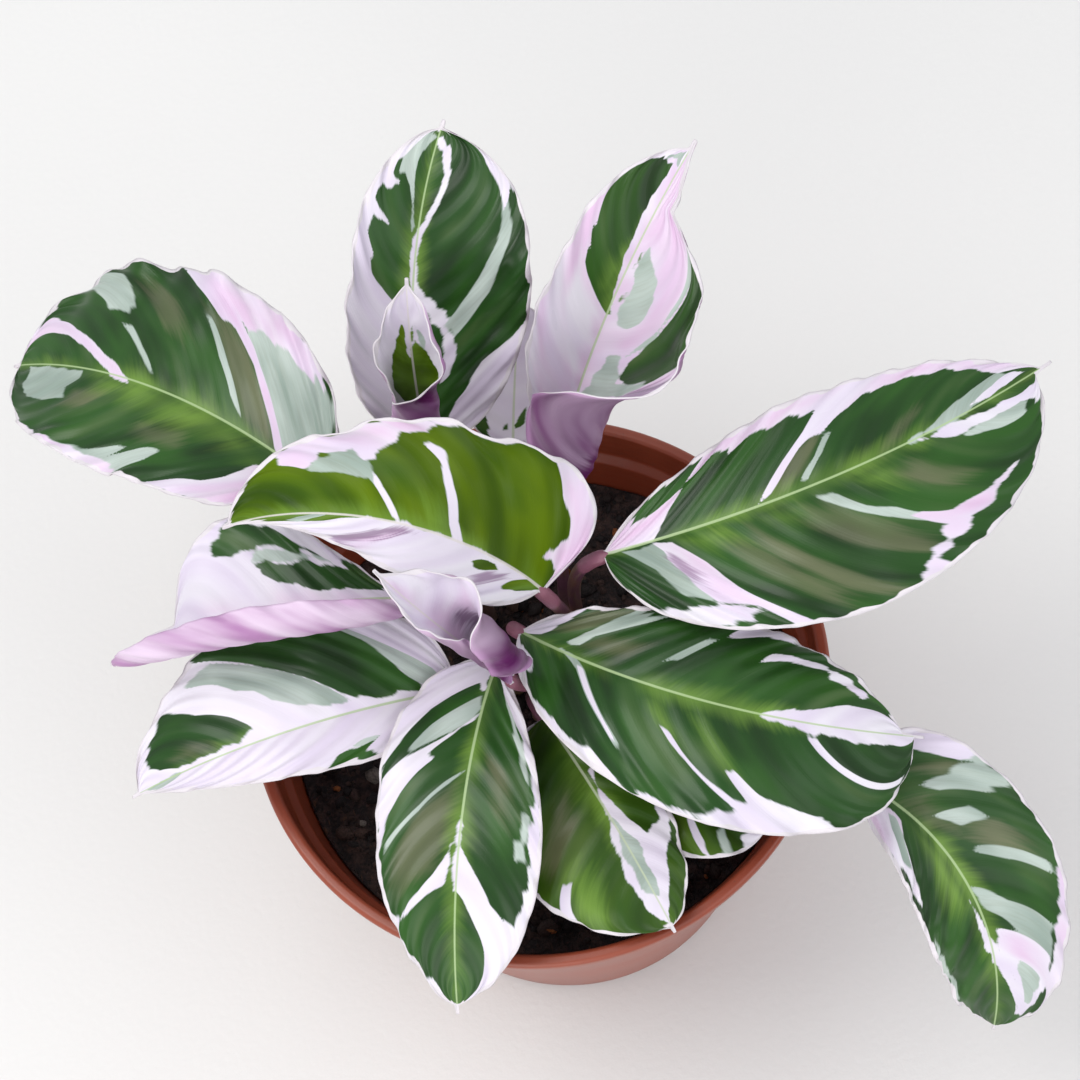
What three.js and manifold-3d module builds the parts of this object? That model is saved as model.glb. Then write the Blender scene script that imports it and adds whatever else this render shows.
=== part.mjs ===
// Calathea White Fusion in its plastic nursery pot. Millimetres, +Z up.
// Origin: the centre of the pot's flat underside. +X is to the plant's right, +Y behind it.
// Fifteen leaves, each a blade on its own stalk, rise from one crown in the soil. A blade is a
// formula: a midrib that swings and droops, two halves of a width of their own that fold, curl
// and wave across it. A stalk stands in a plain hole in the soil and ends at its blade's base.
import * as THREE from 'three';
import { mergeVertices } from 'three/addons/utils/BufferGeometryUtils.js';
import Module from 'manifold-3d';

// ---- Pot and soil -------------------------------------------------------------------------
const POT_HEIGHT = 95;
const FOOT_RADIUS = 42;
const RIM_RADIUS = 60; // outside of the lip
const WALL = 1.5;
const FLOOR = 2; // thickness of the pot's bottom
const BAND_HEIGHT = 11; // the wider band under the lip
const BAND_STEP = 2.4; // how far the band stands out from the wall below it
const LIP = 1.2; // how far the lip stands out from the band
const LIP_HEIGHT = 2.6;
const EDGE_ROUND = 0.6; // softening of the lip's and the band's edges
const FOOT_CHAMFER = 1.5;
const INNER_CORNER = 1; // slant where the inside wall meets the floor and the band
const POT_SIDES = 60;
const DRAIN_HOLES = 6;
const DRAIN_RADIUS = 4.5;
const DRAIN_CIRCLE = 27; // radius on which the drain holes lie
const DRAIN_SIDES = 16;
const SOIL_TOP = 77;
const SOIL_GAP = 0.5; // clearance between the root ball and the pot
const SOIL_CORNER = 2; // slant round the root ball's lower edge
const SOIL_RINGS = 8;
const SOIL_SIDES = 36;
const SOIL_EDGE = 0.85; // share of the soil's radius where its lumps start to fade out
// The soil's lumps are crossed waves: height, radians per mm along X and along Y, and phase.
const SOIL_WAVES = [
  { height: 0.6, alongX: 0.31, alongY: 0.27, phase: 0.9 },
  { height: 0.5, alongX: 0.53, alongY: -0.47, phase: 2.1 },
  { height: 0.4, alongX: 0.22, alongY: 0.71, phase: 1.6 },
];

// ---- Stalks -------------------------------------------------------------------------------
const STALK_RADIUS = 1.35;
const SHEATH_RADIUS = 1.9; // the sheathing base of a stalk
const SHEATH_LENGTH = 12; // how far above the soil the sheath thins into the stalk
const KNEE_RADIUS = 1.5; // the swollen joint just below a blade
const KNEE_LENGTH = 7;
const KNEE_SWELL = 2.1; // length over which the stalk swells into its knee
const KNEE_HANDLE = 10; // how far below its blade a stalk starts to bend into line with it
const COLLAR = 2; // a stalk stands upright to this height above the soil
const STALK_CLIMB = 0.4; // share of its span for which a stalk climbs before it leans over
const STALK_TIP_RADIUS = 1;
const STALK_DEPTH = 12; // how deep a stalk stands in the soil
const STALK_SIDES = 7;
const STALK_STEP = 8; // spacing of the rings along a stalk
const STALK_FRAMES = 200; // steps at which a stalk's direction is worked out
const HOLE_CLEARANCE = 0.45;
const HOLE_SIDES = 10;
const SEAT_GAP = 0.3; // between a stalk's end and its blade

// ---- Blades -------------------------------------------------------------------------------
const BLADE_THICKNESS = 0.9;
const KEEL = 0.8; // extra depth under the midrib, fading out towards the tip
const KEEL_REACH = 0.3; // share of the half width that the keel covers
const BASE_HALF_WIDTH = 0.8;
const TIP_HALF_WIDTH = 0.45;
const MIN_BEND_RADIUS = 1.6; // tightest curl across a blade
const TIP_WIDTH = 0.1; // share of the width that runs on into the drawn-out tip
const TIP_START = 0.84;
const BODY_END = 0.97; // where the rounded body of the blade ends and only the tip goes on
const QUICK_WAVE = { height: 0.35, count: 2.3, turn: 1.7, start: 0.3 }; // over each slow wave
const WAVE_FADE = 0.6; // power that fades the waves out at a blade's base and tip
const WAVE_REACH = 2.2; // power that keeps the waves near the margin
const CROWDING = 0.35; // how far the rows of a blade crowd towards its base and tip
const CURVE_STEPS = 60;

/**
 * One half of a blade: its width, its rounding towards the base and towards the tip, its fold
 * and its curl in degrees at even steps from base to tip, and the margin's waves as height, count
 * and phase. bend above 1 keeps the curl near the margin, and end is where the body runs out.
 */
function half(width, [full, taper], fold, curl, wave, { bend = 1, end = BODY_END } = {}) {
  return { width, full, taper, fold, curl, wave, bend, end };
}

// Each leaf: where its blade starts, where its stalk is rooted, and the run of its midrib.
// heading is the compass angle from +X, swing how far it turns to the left along the blade,
// rise the angle up at the base and droop how far it turns down. left and right are the halves
// seen from the base.
const LEAVES = {
  left_rear: {
    base: [-34, 37, 128], root: [-9, 18], length: 84, heading: 131, swing: 20, rise: 16, droop: 52,
    left: half(21.5, [0.38, 0.42], [25, 10, 5], [-5, -10, -5], [1.2, 3, 0.1]),
    right: half(27.5, [0.47, 0.38], [25, 12, 10], [10, -15, -20], [1.6, 4, 0.3]),
  },
  rear: {
    base: [-13, 47, 118], root: [-2, 25], length: 69, heading: 82, swing: -26, rise: 66, droop: 42,
    left: half(14.6, [0.5, 0.6], [35, 25, 10], [30, 30, 10], [0.8, 2, 0.1]),
    right: half(24, [0.55, 0.42], [25, 10, 5], [-10, -10, -10], [1, 3, 0.3]),
  },
  rear_right: {
    base: [15, 38, 122], root: [9, 21], length: 70, heading: 44, swing: 0, rise: 66, droop: 48,
    left: half(15, [0.7, 0.7], [50, 40, 20], [30, 20, 10], [0.6, 2, 0.1]),
    right: half(33, [0.5, 0.8], [10, 5, 5], [90, 215, 60, 25, 10], [1, 2, 0.3], { bend: 1.3, end: 0.8 }),
  },
  right: {
    base: [18, 9.3, 129.5], root: [11, 14], length: 98, heading: -6, swing: 34, rise: 20, droop: 34,
    left: half(17.8, [0.8, 0.75], [12, 6, 0], [0, -10, -10], [0.8, 2.5, 0.2]),
    right: half(27, [0.6, 0.65], [10, 4, 0], [-20, -15, -10], [1.6, 2.5, 0.6], { end: 0.95 }),
  },
  front_curl: {
    base: [4.8, 4.4, 130.5], root: [11, 8], length: 71, heading: 151, swing: 17, rise: 61, droop: 98,
    left: half(11, [0.9, 1.9], [0, -5, 0], [0, 0, 0], [0.5, 2, 0.1]),
    right: half(24, [0.3, 0.78], [25, 22, 20], [30, 52, 30], [1.2, 3, 0.3]),
  },
  rolled: {
    base: [-4.2, -8.9, 121.3], root: [6, 1], length: 47, heading: 168, swing: -29, rise: 67, droop: 11,
    left: half(7.5, [0.9, 1.1], [0, 0, 10], [80, 230, 150, 60, 10], [0, 2, 0]),
    right: half(18.5, [0.9, 1.2], [0, 0, 10], [100, 270, 235, 80, 10], [0, 2, 0]),
  },
  left_rolled_edge: {
    base: [-19, 9, 128], root: [-10, 11], length: 68, heading: 176, swing: 0, rise: 24, droop: 66,
    left: half(19, [0.5, 0.7], [10, 10, 10], [150, 170, 150], [0.3, 2, 0.1], { bend: 1.6 }),
    right: half(20.5, [1.6, 0.7], [10, 10, 5], [0, -5, -10], [0.8, 3, 0.3], { end: 0.73 }),
  },
  left: {
    base: [-16, -4.6, 110.5], root: [-10, 4], length: 71, heading: -172, swing: -4, rise: 28, droop: 60,
    left: half(11, [0.45, 1], [15, 10, 5], [-10, -15, -10], [0.6, 2.5, 0.1]),
    right: half(23, [0.45, 0.55], [20, 15, 10], [0, -5, -10], [1.4, 3, 0.3]),
  },
  front: {
    base: [-7, -1.3, 112], root: [-5, 6], length: 75, heading: -114, swing: 12, rise: 28, droop: 80,
    left: half(16, [0.95, 0.7], [12, 8, 5], [-10, -15, -20], [0.7, 2.5, 0.1]),
    right: half(17, [0.5, 0.7], [12, 8, 5], [-10, -15, -20], [0.9, 3, 0.3]),
  },
  front_low: {
    base: [0, -12, 104.5], root: [-1, -1], length: 51, heading: -69, swing: -4, rise: 14, droop: 38,
    left: half(11, [0.5, 0.5], [10, 5, 0], [-10, -20, -20], [0.5, 2, 0.1]),
    right: half(21, [0.5, 0.5], [10, 5, 0], [-10, -20, -30], [0.7, 3, 0.3]),
  },
  front_right: {
    base: [-1, 2, 117.5], root: [2, 10], length: 89, heading: -52, swing: 50, rise: 32, droop: 70,
    left: half(18.5, [0.74, 0.6], [10, 5, 0], [-10, -15, -20], [0.8, 2.5, 0.1], { end: 0.94 }),
    right: half(22.8, [0.74, 0.5], [10, 5, 0], [-10, -20, -25], [1.4, 3.5, 0.3]),
  },
  small_low: {
    base: [11, -26, 98], root: [8, -5], length: 34, heading: -38, swing: 24, rise: 26, droop: 50,
    left: half(8, [0.5, 0.5], [10, 5, 0], [-10, -20, -20], [0.5, 2.5, 0.1]),
    right: half(11, [0.5, 0.5], [10, 5, 0], [-10, -20, -20], [0.5, 2.5, 0.1]),
  },
  right_drooping: {
    base: [57, -37, 102], root: [14, 1], length: 73, heading: -39, swing: -70, rise: 2, droop: 82,
    left: half(19.5, [0.28, 0.5], [10, 5, 0], [-10, -15, -20], [0.8, 2.5, 0.1]),
    right: half(12, [0.6, 0.6], [15, 10, 0], [-10, -20, -25], [1.6, 3.5, 0.3]),
  },
  unrolling: {
    base: [-12, 42, 120], root: [-8, 23], length: 52, heading: 83, swing: -20, rise: 80, droop: 10,
    left: half(9.8, [0.8, 0.9], [10, 0, 10], [60, 215, 150, 60, 20], [0, 2, 0]),
    right: half(18.5, [0.8, 1], [10, 0, 10], [90, 260, 225, 80, 20], [0, 2, 0]),
  },
  small_rear: {
    base: [5, 52, 98], root: [4, 27], length: 33, heading: 70, swing: 0, rise: 58, droop: 24,
    left: half(11, [0.5, 0.6], [20, 15, 10], [0, 0, 0], [0, 2, 0]),
    right: half(12, [0.5, 0.6], [20, 15, 10], [0, 0, 0], [0, 2, 0]),
  },
};

// Rows along a blade and cells across each half; rolled blades need more cells across.
const BLADE_GRID = { rows: 18, cells: 4 };
const SMALL_GRID = { rows: 14, cells: 4 };
const ROLLED_GRID = { rows: 16, cells: 6 };
const GRIDS = {
  small_low: SMALL_GRID,
  small_rear: SMALL_GRID,
  front_low: SMALL_GRID,
  rear_right: ROLLED_GRID,
  rolled: ROLLED_GRID,
  left_rolled_edge: ROLLED_GRID,
  unrolling: ROLLED_GRID,
};

const COLOURS = {
  pot: 0x8a3a2c,
  soil: 0x2a1b15,
  stalk: 0x6a3f49,
  blade: 0x3f6b34,
  paleBlade: 0xd9cfdc,
};
const PALE_LEAVES = ['rolled', 'left_rolled_edge', 'unrolling', 'small_rear'];

const { clamp, degToRad, lerp, smoothstep } = THREE.MathUtils;
const wasm = await Module();
wasm.setup();

// ---- Solids -------------------------------------------------------------------------------

/** A closed geometry whose equal positions are one vertex, ready for joining and cutting. */
function welded(geometry) {
  const bare = geometry.clone();
  bare.deleteAttribute('normal');
  bare.deleteAttribute('uv');
  return mergeVertices(bare, 1e-4);
}

/** A closed geometry as a manifold solid. */
function solidOf(geometry) {
  const closed = welded(geometry);
  return new wasm.Manifold(new wasm.Mesh({
    numProp: 3,
    vertProperties: new Float32Array(closed.attributes.position.array),
    triVerts: new Uint32Array(closed.index.array),
  }));
}

/** A manifold solid as a geometry again. */
function geometryOf(solid) {
  const mesh = solid.getMesh();
  const geometry = new THREE.BufferGeometry();
  geometry.setAttribute('position', new THREE.BufferAttribute(mesh.vertProperties, 3));
  geometry.setIndex(new THREE.BufferAttribute(mesh.triVerts, 1));
  geometry.computeVertexNormals();
  return geometry;
}

/** The solid of revolution about Z of a profile of [radius, height] points. */
function turned(profile, sides) {
  const points = profile.map(([radius, height]) => new THREE.Vector2(radius, height));
  return new THREE.LatheGeometry(points, sides).rotateX(Math.PI / 2);
}

/** An upright cylinder from height bottom to height top. */
function uprightCylinder(x, y, bottom, top, radius, sides) {
  return new THREE.CylinderGeometry(radius, radius, top - bottom, sides)
    .rotateX(Math.PI / 2)
    .translate(x, y, (bottom + top) / 2);
}

function namedMesh(name, geometry, color, roughness) {
  const mesh = new THREE.Mesh(geometry, new THREE.MeshStandardMaterial({ color, roughness, metalness: 0 }));
  mesh.name = name;
  return mesh;
}

// ---- Pot ----------------------------------------------------------------------------------

const BAND_RADIUS = RIM_RADIUS - LIP;
const BAND_BOTTOM = POT_HEIGHT - BAND_HEIGHT;
const SHOULDER_RADIUS = BAND_RADIUS - BAND_STEP;

/** Inner radius of the pot's straight wall at a height below the band. */
function innerRadius(height) {
  return lerp(FOOT_RADIUS, SHOULDER_RADIUS, height / BAND_BOTTOM) - WALL;
}

function makePot() {
  const lipBottom = POT_HEIGHT - LIP_HEIGHT;
  const bandInner = BAND_RADIUS - WALL;
  const profile = [
    [0, 0],
    [FOOT_RADIUS - FOOT_CHAMFER, 0],
    [FOOT_RADIUS, FOOT_CHAMFER],
    [SHOULDER_RADIUS, BAND_BOTTOM],
    [BAND_RADIUS - EDGE_ROUND, BAND_BOTTOM + INNER_CORNER],
    [BAND_RADIUS, lipBottom],
    [RIM_RADIUS, lipBottom + EDGE_ROUND],
    [RIM_RADIUS, POT_HEIGHT - EDGE_ROUND],
    [RIM_RADIUS - EDGE_ROUND, POT_HEIGHT],
    [bandInner + EDGE_ROUND, POT_HEIGHT],
    [bandInner, POT_HEIGHT - EDGE_ROUND],
    [bandInner - EDGE_ROUND, BAND_BOTTOM + INNER_CORNER + WALL],
    [innerRadius(BAND_BOTTOM), BAND_BOTTOM + WALL / 2],
    [innerRadius(FLOOR + INNER_CORNER), FLOOR + INNER_CORNER],
    [innerRadius(FLOOR) - INNER_CORNER, FLOOR],
    [0, FLOOR],
  ];
  let pot = solidOf(turned(profile, POT_SIDES));
  for (let i = 0; i < DRAIN_HOLES; i += 1) {
    const angle = (i / DRAIN_HOLES) * 2 * Math.PI;
    const x = DRAIN_CIRCLE * Math.cos(angle);
    const y = DRAIN_CIRCLE * Math.sin(angle);
    pot = pot.subtract(solidOf(uprightCylinder(x, y, -FLOOR, 2 * FLOOR, DRAIN_RADIUS, DRAIN_SIDES)));
  }
  return namedMesh('pot', geometryOf(pot), COLOURS.pot, 0.45);
}

// ---- Soil ---------------------------------------------------------------------------------

/** Height of the soil's lumps at a point: a few crossed waves that fade out at the wall. */
function soilRelief(x, y, radius) {
  let lumps = 0;
  for (const { height, alongX, alongY, phase } of SOIL_WAVES) {
    lumps += height * Math.sin(alongX * x + alongY * y + phase);
  }
  return lumps * (1 - smoothstep(Math.hypot(x, y), radius * SOIL_EDGE, radius));
}

function makeSoil(stalks) {
  const bottom = FLOOR + SOIL_GAP;
  const topRadius = innerRadius(SOIL_TOP) - SOIL_GAP;
  const profile = [
    [0, bottom],
    [innerRadius(FLOOR) - INNER_CORNER - SOIL_GAP, bottom],
    [innerRadius(FLOOR + SOIL_CORNER) - SOIL_GAP, bottom + SOIL_CORNER],
  ];
  for (let ring = 0; ring <= SOIL_RINGS; ring += 1) {
    profile.push([topRadius * (1 - ring / SOIL_RINGS), SOIL_TOP]);
  }
  const ball = turned(profile, SOIL_SIDES);
  const position = ball.attributes.position;
  for (let i = 0; i < position.count; i += 1) {
    if (position.getZ(i) > SOIL_TOP - SEAT_GAP) {
      position.setZ(i, SOIL_TOP + soilRelief(position.getX(i), position.getY(i), topRadius));
    }
  }
  let soil = solidOf(ball);
  const holeRadius = SHEATH_RADIUS + HOLE_CLEARANCE;
  for (const [x, y] of stalks) {
    const bed = SOIL_TOP - STALK_DEPTH - SEAT_GAP;
    const above = SOIL_TOP + STALK_DEPTH;
    soil = soil.subtract(solidOf(uprightCylinder(x, y, bed, above, holeRadius, HOLE_SIDES)));
  }
  return namedMesh('soil', geometryOf(soil), COLOURS.soil, 0.95);
}

// ---- Blades -------------------------------------------------------------------------------

/** Blend smoothly through values spaced evenly along 0..1. */
function along(values, s) {
  const spans = values.length - 1;
  const x = clamp(s, 0, 1) * spans;
  const i = Math.min(Math.floor(x), spans - 1);
  return lerp(values[i], values[i + 1], smoothstep(x - i, 0, 1));
}

/** Unit direction of a leaf's midrib at s. */
function midribDirection(leaf, s) {
  const heading = degToRad(leaf.heading + leaf.swing * s);
  const pitch = degToRad(leaf.rise - leaf.droop * s);
  return new THREE.Vector3(
    Math.cos(heading) * Math.cos(pitch),
    Math.sin(heading) * Math.cos(pitch),
    Math.sin(pitch),
  );
}

/** Frame of the midrib at s: its point, the way to the right half, and up from the blade. */
function midribFrame(leaf, s) {
  const point = new THREE.Vector3(...leaf.base);
  const step = s / CURVE_STEPS;
  for (let i = 0; i < CURVE_STEPS; i += 1) {
    point.addScaledVector(midribDirection(leaf, (i + 0.5) * step), leaf.length * step);
  }
  const heading = degToRad(leaf.heading + leaf.swing * s);
  const across = new THREE.Vector3(Math.sin(heading), -Math.cos(heading), 0);
  const up = across.clone().cross(midribDirection(leaf, s));
  return { point, across, up };
}

/** Width of one half at s: a rounded body that runs on into a drawn-out tip. */
function halfWidth(side, s) {
  const x = clamp(s / side.end, 0, 1);
  const peak = side.full / (side.full + side.taper);
  const body = (x / peak) ** side.full * ((1 - x) / (1 - peak)) ** side.taper;
  const tip = TIP_WIDTH * clamp((1 - s) / (1 - TIP_START), 0, 1) * clamp(2 * s, 0, 1);
  return Math.max(side.width * Math.hypot(body, tip), lerp(BASE_HALF_WIDTH, TIP_HALF_WIDTH, s));
}

/** Height of the margin's waves at s. */
function marginWave([height, count, phase], s) {
  const slow = Math.sin(2 * Math.PI * (count * s + phase));
  const turns = QUICK_WAVE.count * count * s + QUICK_WAVE.turn * phase + QUICK_WAVE.start;
  const quick = QUICK_WAVE.height * Math.sin(2 * Math.PI * turns);
  return height * (slow + quick) * Math.sin(Math.PI * clamp(s, 0, 1)) ** WAVE_FADE;
}

/** Section of one half at s: [outward, upward, slope] at the share t of its width. */
function section(side, s, t) {
  const width = halfWidth(side, s);
  const fold = degToRad(along(side.fold, s));
  const wanted = degToRad(along(side.curl, s));
  const curl = Math.sign(wanted) * Math.min(Math.abs(wanted), width / MIN_BEND_RADIUS);
  const slopeAt = (share) => fold + curl * share ** side.bend;
  let outward = 0;
  let upward = 0;
  const step = t / CURVE_STEPS;
  for (let i = 0; i < CURVE_STEPS; i += 1) {
    const slope = slopeAt((i + 0.5) * step);
    outward += width * step * Math.cos(slope);
    upward += width * step * Math.sin(slope);
  }
  const slope = slopeAt(t);
  const wave = marginWave(side.wave, s) * t ** WAVE_REACH;
  return [outward - wave * Math.sin(slope), upward + wave * Math.cos(slope), slope];
}

/** Top and underside points of a blade at s and at t, -1 on the left margin and 1 on the right. */
function bladePoints(leaf, s, t) {
  const { point, across, up } = midribFrame(leaf, s);
  const sign = t < 0 ? -1 : 1;
  const side = t < 0 ? leaf.left : leaf.right;
  const [outward, upward, slope] = section(side, s, Math.abs(t));
  const top = point.clone().addScaledVector(across, sign * outward).addScaledVector(up, upward);
  const normal = new THREE.Vector3();
  if (t === 0) {
    normal.copy(up);
  } else {
    normal.addScaledVector(across, -sign * Math.sin(slope)).addScaledVector(up, Math.cos(slope));
  }
  const keel = KEEL * (1 - s) * Math.max(0, 1 - Math.abs(t) / KEEL_REACH);
  const under = top.clone().addScaledVector(normal, -(BLADE_THICKNESS + keel));
  return [top, under];
}

/** A closed blade: the same grid of triangles on top and underside, and a strip all round. */
function bladeGeometry(leaf, { rows, cells }) {
  const columns = 2 * cells;
  const positions = [];
  const undersides = [];
  for (let i = 0; i <= rows; i += 1) {
    const u = i / rows;
    const s = lerp(u, smoothstep(u, 0, 1), CROWDING);
    for (let j = 0; j <= columns; j += 1) {
      const [top, under] = bladePoints(leaf, s, j / cells - 1);
      positions.push(...top);
      undersides.push(...under);
    }
  }
  const offset = positions.length / 3;
  const at = (i, j) => i * (columns + 1) + j;
  const faces = [];
  const strip = (a, b) => faces.push(a, offset + a, b, b, offset + a, offset + b);
  for (let i = 0; i < rows; i += 1) {
    for (let j = 0; j < columns; j += 1) {
      const [a, b, c, d] = [at(i, j), at(i, j + 1), at(i + 1, j + 1), at(i + 1, j)];
      faces.push(a, b, c, a, c, d);
      faces.push(offset + a, offset + c, offset + b, offset + a, offset + d, offset + c);
    }
    strip(at(i + 1, 0), at(i, 0));
    strip(at(i, columns), at(i + 1, columns));
  }
  for (let j = 0; j < columns; j += 1) {
    strip(at(0, j), at(0, j + 1));
    strip(at(rows, j + 1), at(rows, j));
  }
  const geometry = new THREE.BufferGeometry();
  geometry.setAttribute('position', new THREE.Float32BufferAttribute([...positions, ...undersides], 3));
  geometry.setIndex(faces);
  geometry.computeVertexNormals();
  return geometry;
}

// ---- Stalks -------------------------------------------------------------------------------

/** The run of a leaf's stalk, from its bed in the soil up to just short of its blade. */
function stalkCurve(leaf) {
  const [x, y] = leaf.root;
  const bed = new THREE.Vector3(x, y, SOIL_TOP - STALK_DEPTH);
  const collar = new THREE.Vector3(x, y, SOIL_TOP + COLLAR);
  const { point, up } = midribFrame(leaf, 0);
  const direction = midribDirection(leaf, 0);
  const end = point.clone()
    .addScaledVector(up, -(BLADE_THICKNESS + KEEL) / 2)
    .addScaledVector(direction, -SEAT_GAP);
  const lower = collar.clone().add(new THREE.Vector3(0, 0, STALK_CLIMB * end.distanceTo(collar)));
  const upper = end.clone().addScaledVector(direction, -KNEE_HANDLE);
  const run = new THREE.CurvePath();
  run.add(new THREE.LineCurve3(bed, collar));
  run.add(new THREE.CubicBezierCurve3(collar, lower, upper, end));
  return run;
}

/** A round stalk of changing radius, turned straight and then laid along its curve. */
function stalkGeometry(leaf) {
  const curve = stalkCurve(leaf);
  const length = curve.getLength();
  const steps = Math.round(length / STALK_STEP);
  const radii = [];
  for (let i = 0; i <= steps; i += 1) {
    const run = (i / steps) * (length - KNEE_LENGTH);
    const sheath = 1 - smoothstep(run, STALK_DEPTH, STALK_DEPTH + SHEATH_LENGTH);
    radii.push([lerp(STALK_RADIUS, SHEATH_RADIUS, sheath), run]);
  }
  const kneeBottom = length - KNEE_LENGTH + KNEE_SWELL;
  const kneeTop = length - STALK_TIP_RADIUS;
  radii.push([KNEE_RADIUS, kneeBottom], [KNEE_RADIUS, kneeTop], [STALK_TIP_RADIUS, length]);
  const geometry = turned([[0, 0], ...radii, [0, length]], STALK_SIDES);
  const frames = curve.computeFrenetFrames(STALK_FRAMES);
  const position = geometry.attributes.position;
  const placed = new THREE.Vector3();
  for (let i = 0; i < position.count; i += 1) {
    const u = clamp(position.getZ(i) / length, 0, 1);
    const k = Math.round(u * STALK_FRAMES);
    placed.copy(curve.getPointAt(u))
      .addScaledVector(frames.normals[k], position.getX(i))
      .addScaledVector(frames.binormals[k], position.getY(i));
    position.setXYZ(i, placed.x, placed.y, placed.z);
  }
  return geometryOf(solidOf(geometry));
}

// ---- The plant ----------------------------------------------------------------------------

const plant = new THREE.Group();
plant.add(makePot());
plant.add(makeSoil(Object.values(LEAVES).map((leaf) => leaf.root)));
for (const [name, leaf] of Object.entries(LEAVES)) {
  const color = PALE_LEAVES.includes(name) ? COLOURS.paleBlade : COLOURS.blade;
  plant.add(namedMesh(`stalk_${name}`, stalkGeometry(leaf), COLOURS.stalk, 0.5));
  plant.add(namedMesh(`leaf_${name}`, bladeGeometry(leaf, GRIDS[name] ?? BLADE_GRID), color, 0.35));
}

export default plant;
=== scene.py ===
"""Calathea White Fusion in its plastic nursery pot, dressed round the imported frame.

Fifteen variegated blades on their stalks, the potting mix with its crumbs, the moulded pot and a
plain studio. Lengths are in metres and +Z is up. Every surface is worked out as whole arrays.
"""

import logging
import math
from dataclasses import dataclass, field
from enum import Enum

import bpy
import numpy as np
from bpy.types import ID, Material, Mesh, Node, NodeSocket, Object
from mathutils import Matrix, Vector


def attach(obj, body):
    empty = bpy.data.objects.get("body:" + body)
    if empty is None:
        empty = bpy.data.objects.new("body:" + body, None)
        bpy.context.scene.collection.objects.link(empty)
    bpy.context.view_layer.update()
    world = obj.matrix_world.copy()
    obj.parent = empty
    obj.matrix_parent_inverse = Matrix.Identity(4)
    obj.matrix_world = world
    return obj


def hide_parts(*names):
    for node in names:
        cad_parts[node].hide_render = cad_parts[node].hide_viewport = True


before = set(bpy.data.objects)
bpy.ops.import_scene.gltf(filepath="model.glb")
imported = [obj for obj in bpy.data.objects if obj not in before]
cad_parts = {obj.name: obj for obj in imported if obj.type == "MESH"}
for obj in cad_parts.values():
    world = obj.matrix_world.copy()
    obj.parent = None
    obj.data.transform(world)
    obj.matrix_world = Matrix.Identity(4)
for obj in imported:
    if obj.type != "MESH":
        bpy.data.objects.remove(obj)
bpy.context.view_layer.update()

LOG = logging.getLogger("calathea")
MM = 0.001
TINY = 1e-12  # keeps a division from meeting zero
ROOT = "root"
Array = np.ndarray
Triple = tuple[float, float, float]
Line = tuple[float, float]  # the slope and start of a straight line

# ---- Driving sizes, as the frame has them ----
POT_HEIGHT = 0.095
FOOT_RADIUS = 0.042
RIM_RADIUS = 0.060
WALL = 0.0015
FLOOR = 0.002
BAND_HEIGHT = 0.011
BAND_STEP = 0.0024
LIP = 0.0012
LIP_HEIGHT = 0.0026
EDGE_ROUND = 0.0006
BAND_RADIUS = RIM_RADIUS - LIP
BAND_BOTTOM = POT_HEIGHT - BAND_HEIGHT
SHOULDER_RADIUS = BAND_RADIUS - BAND_STEP
SOIL_TOP = 0.077
SOIL_GAP = 0.0005

STALK_RADIUS = 0.00135
SHEATH_RADIUS = 0.0019
SHEATH_LENGTH = 0.012
KNEE_RADIUS = 0.0015
KNEE_LENGTH = 0.007
KNEE_HANDLE = 0.010  # how far back from the blade the run is pulled along the midrib
COLLAR = 0.002
STALK_CLIMB = 0.4  # share of the span over which a stalk first climbs upright
STALK_DEPTH = 0.012
UPRIGHT = 1e-6  # gives a stalk that doesn't lean a side to turn from

SOLID_THICKNESS = 0.0009
SOLID_KEEL = 0.0008
BASE_HALF_WIDTH = 0.0008
TIP_HALF_WIDTH = 0.00030
MIN_BEND_RADIUS = 0.0016
TIP_WIDTH = 0.1  # width of the drawn-out tip as a share of the half's
TIP_START = 0.84
BODY_END = 0.97
QUICK_HEIGHT = 0.35  # the margin's quicker waves against its slow ones
QUICK_COUNT = 2.3
QUICK_PHASE = (1.7, 0.3)  # a multiple of the slow waves' phase, and what is added to it
WAVE_FADE = 0.6
WAVE_POWER = 2.2  # a wave grows from midrib to margin as this power of the share


def smooth(x: Array) -> Array:
    """The smooth step 3x^2 - 2x^3 of x held to 0..1."""
    held = np.clip(x, 0.0, 1.0)
    return held * held * (3.0 - 2.0 * held)


def along(values: tuple[float, ...], s: Array) -> Array:
    """Blend smoothly through values spaced evenly over 0..1.

    Args:
        values: The values at even steps.
        s: Places along 0..1.

    Returns:
        The blended value at each place.
    """
    known = np.asarray(values, dtype=float)
    x = np.clip(s, 0.0, 1.0) * (len(known) - 1)
    i = np.minimum(x.astype(int), len(known) - 2)
    blend = smooth(x - i)
    return known[i] * (1.0 - blend) + known[i + 1] * blend


def pot_inner(height: float) -> float:
    """Inner radius of the pot's straight wall at a height: foot to shoulder, less the wall."""
    return FOOT_RADIUS + (SHOULDER_RADIUS - FOOT_RADIUS) * height / BAND_BOTTOM - WALL


# ---- Markings ----


class Tone(Enum):
    """What a patch of a blade is coloured; one tone is painted sheen, and the purple is in places painted
    shade.
    """

    GREEN = "green"
    LIME = "lime"
    # patches of painted sheen: a painted reflection on the gloss, in grey brown
    PAINTED_SHEEN = "grey brown"
    GREY = "grey green"
    WHITE = "white"
    PINK = "pink"
    # purple, which in places is painted shade
    PURPLE_AND_SHADE = "purple"

    def __call__(self, *corners: tuple[int, int]) -> "Patch":
        """A patch of this tone with the given corners."""
        return Patch(self, corners)


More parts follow.
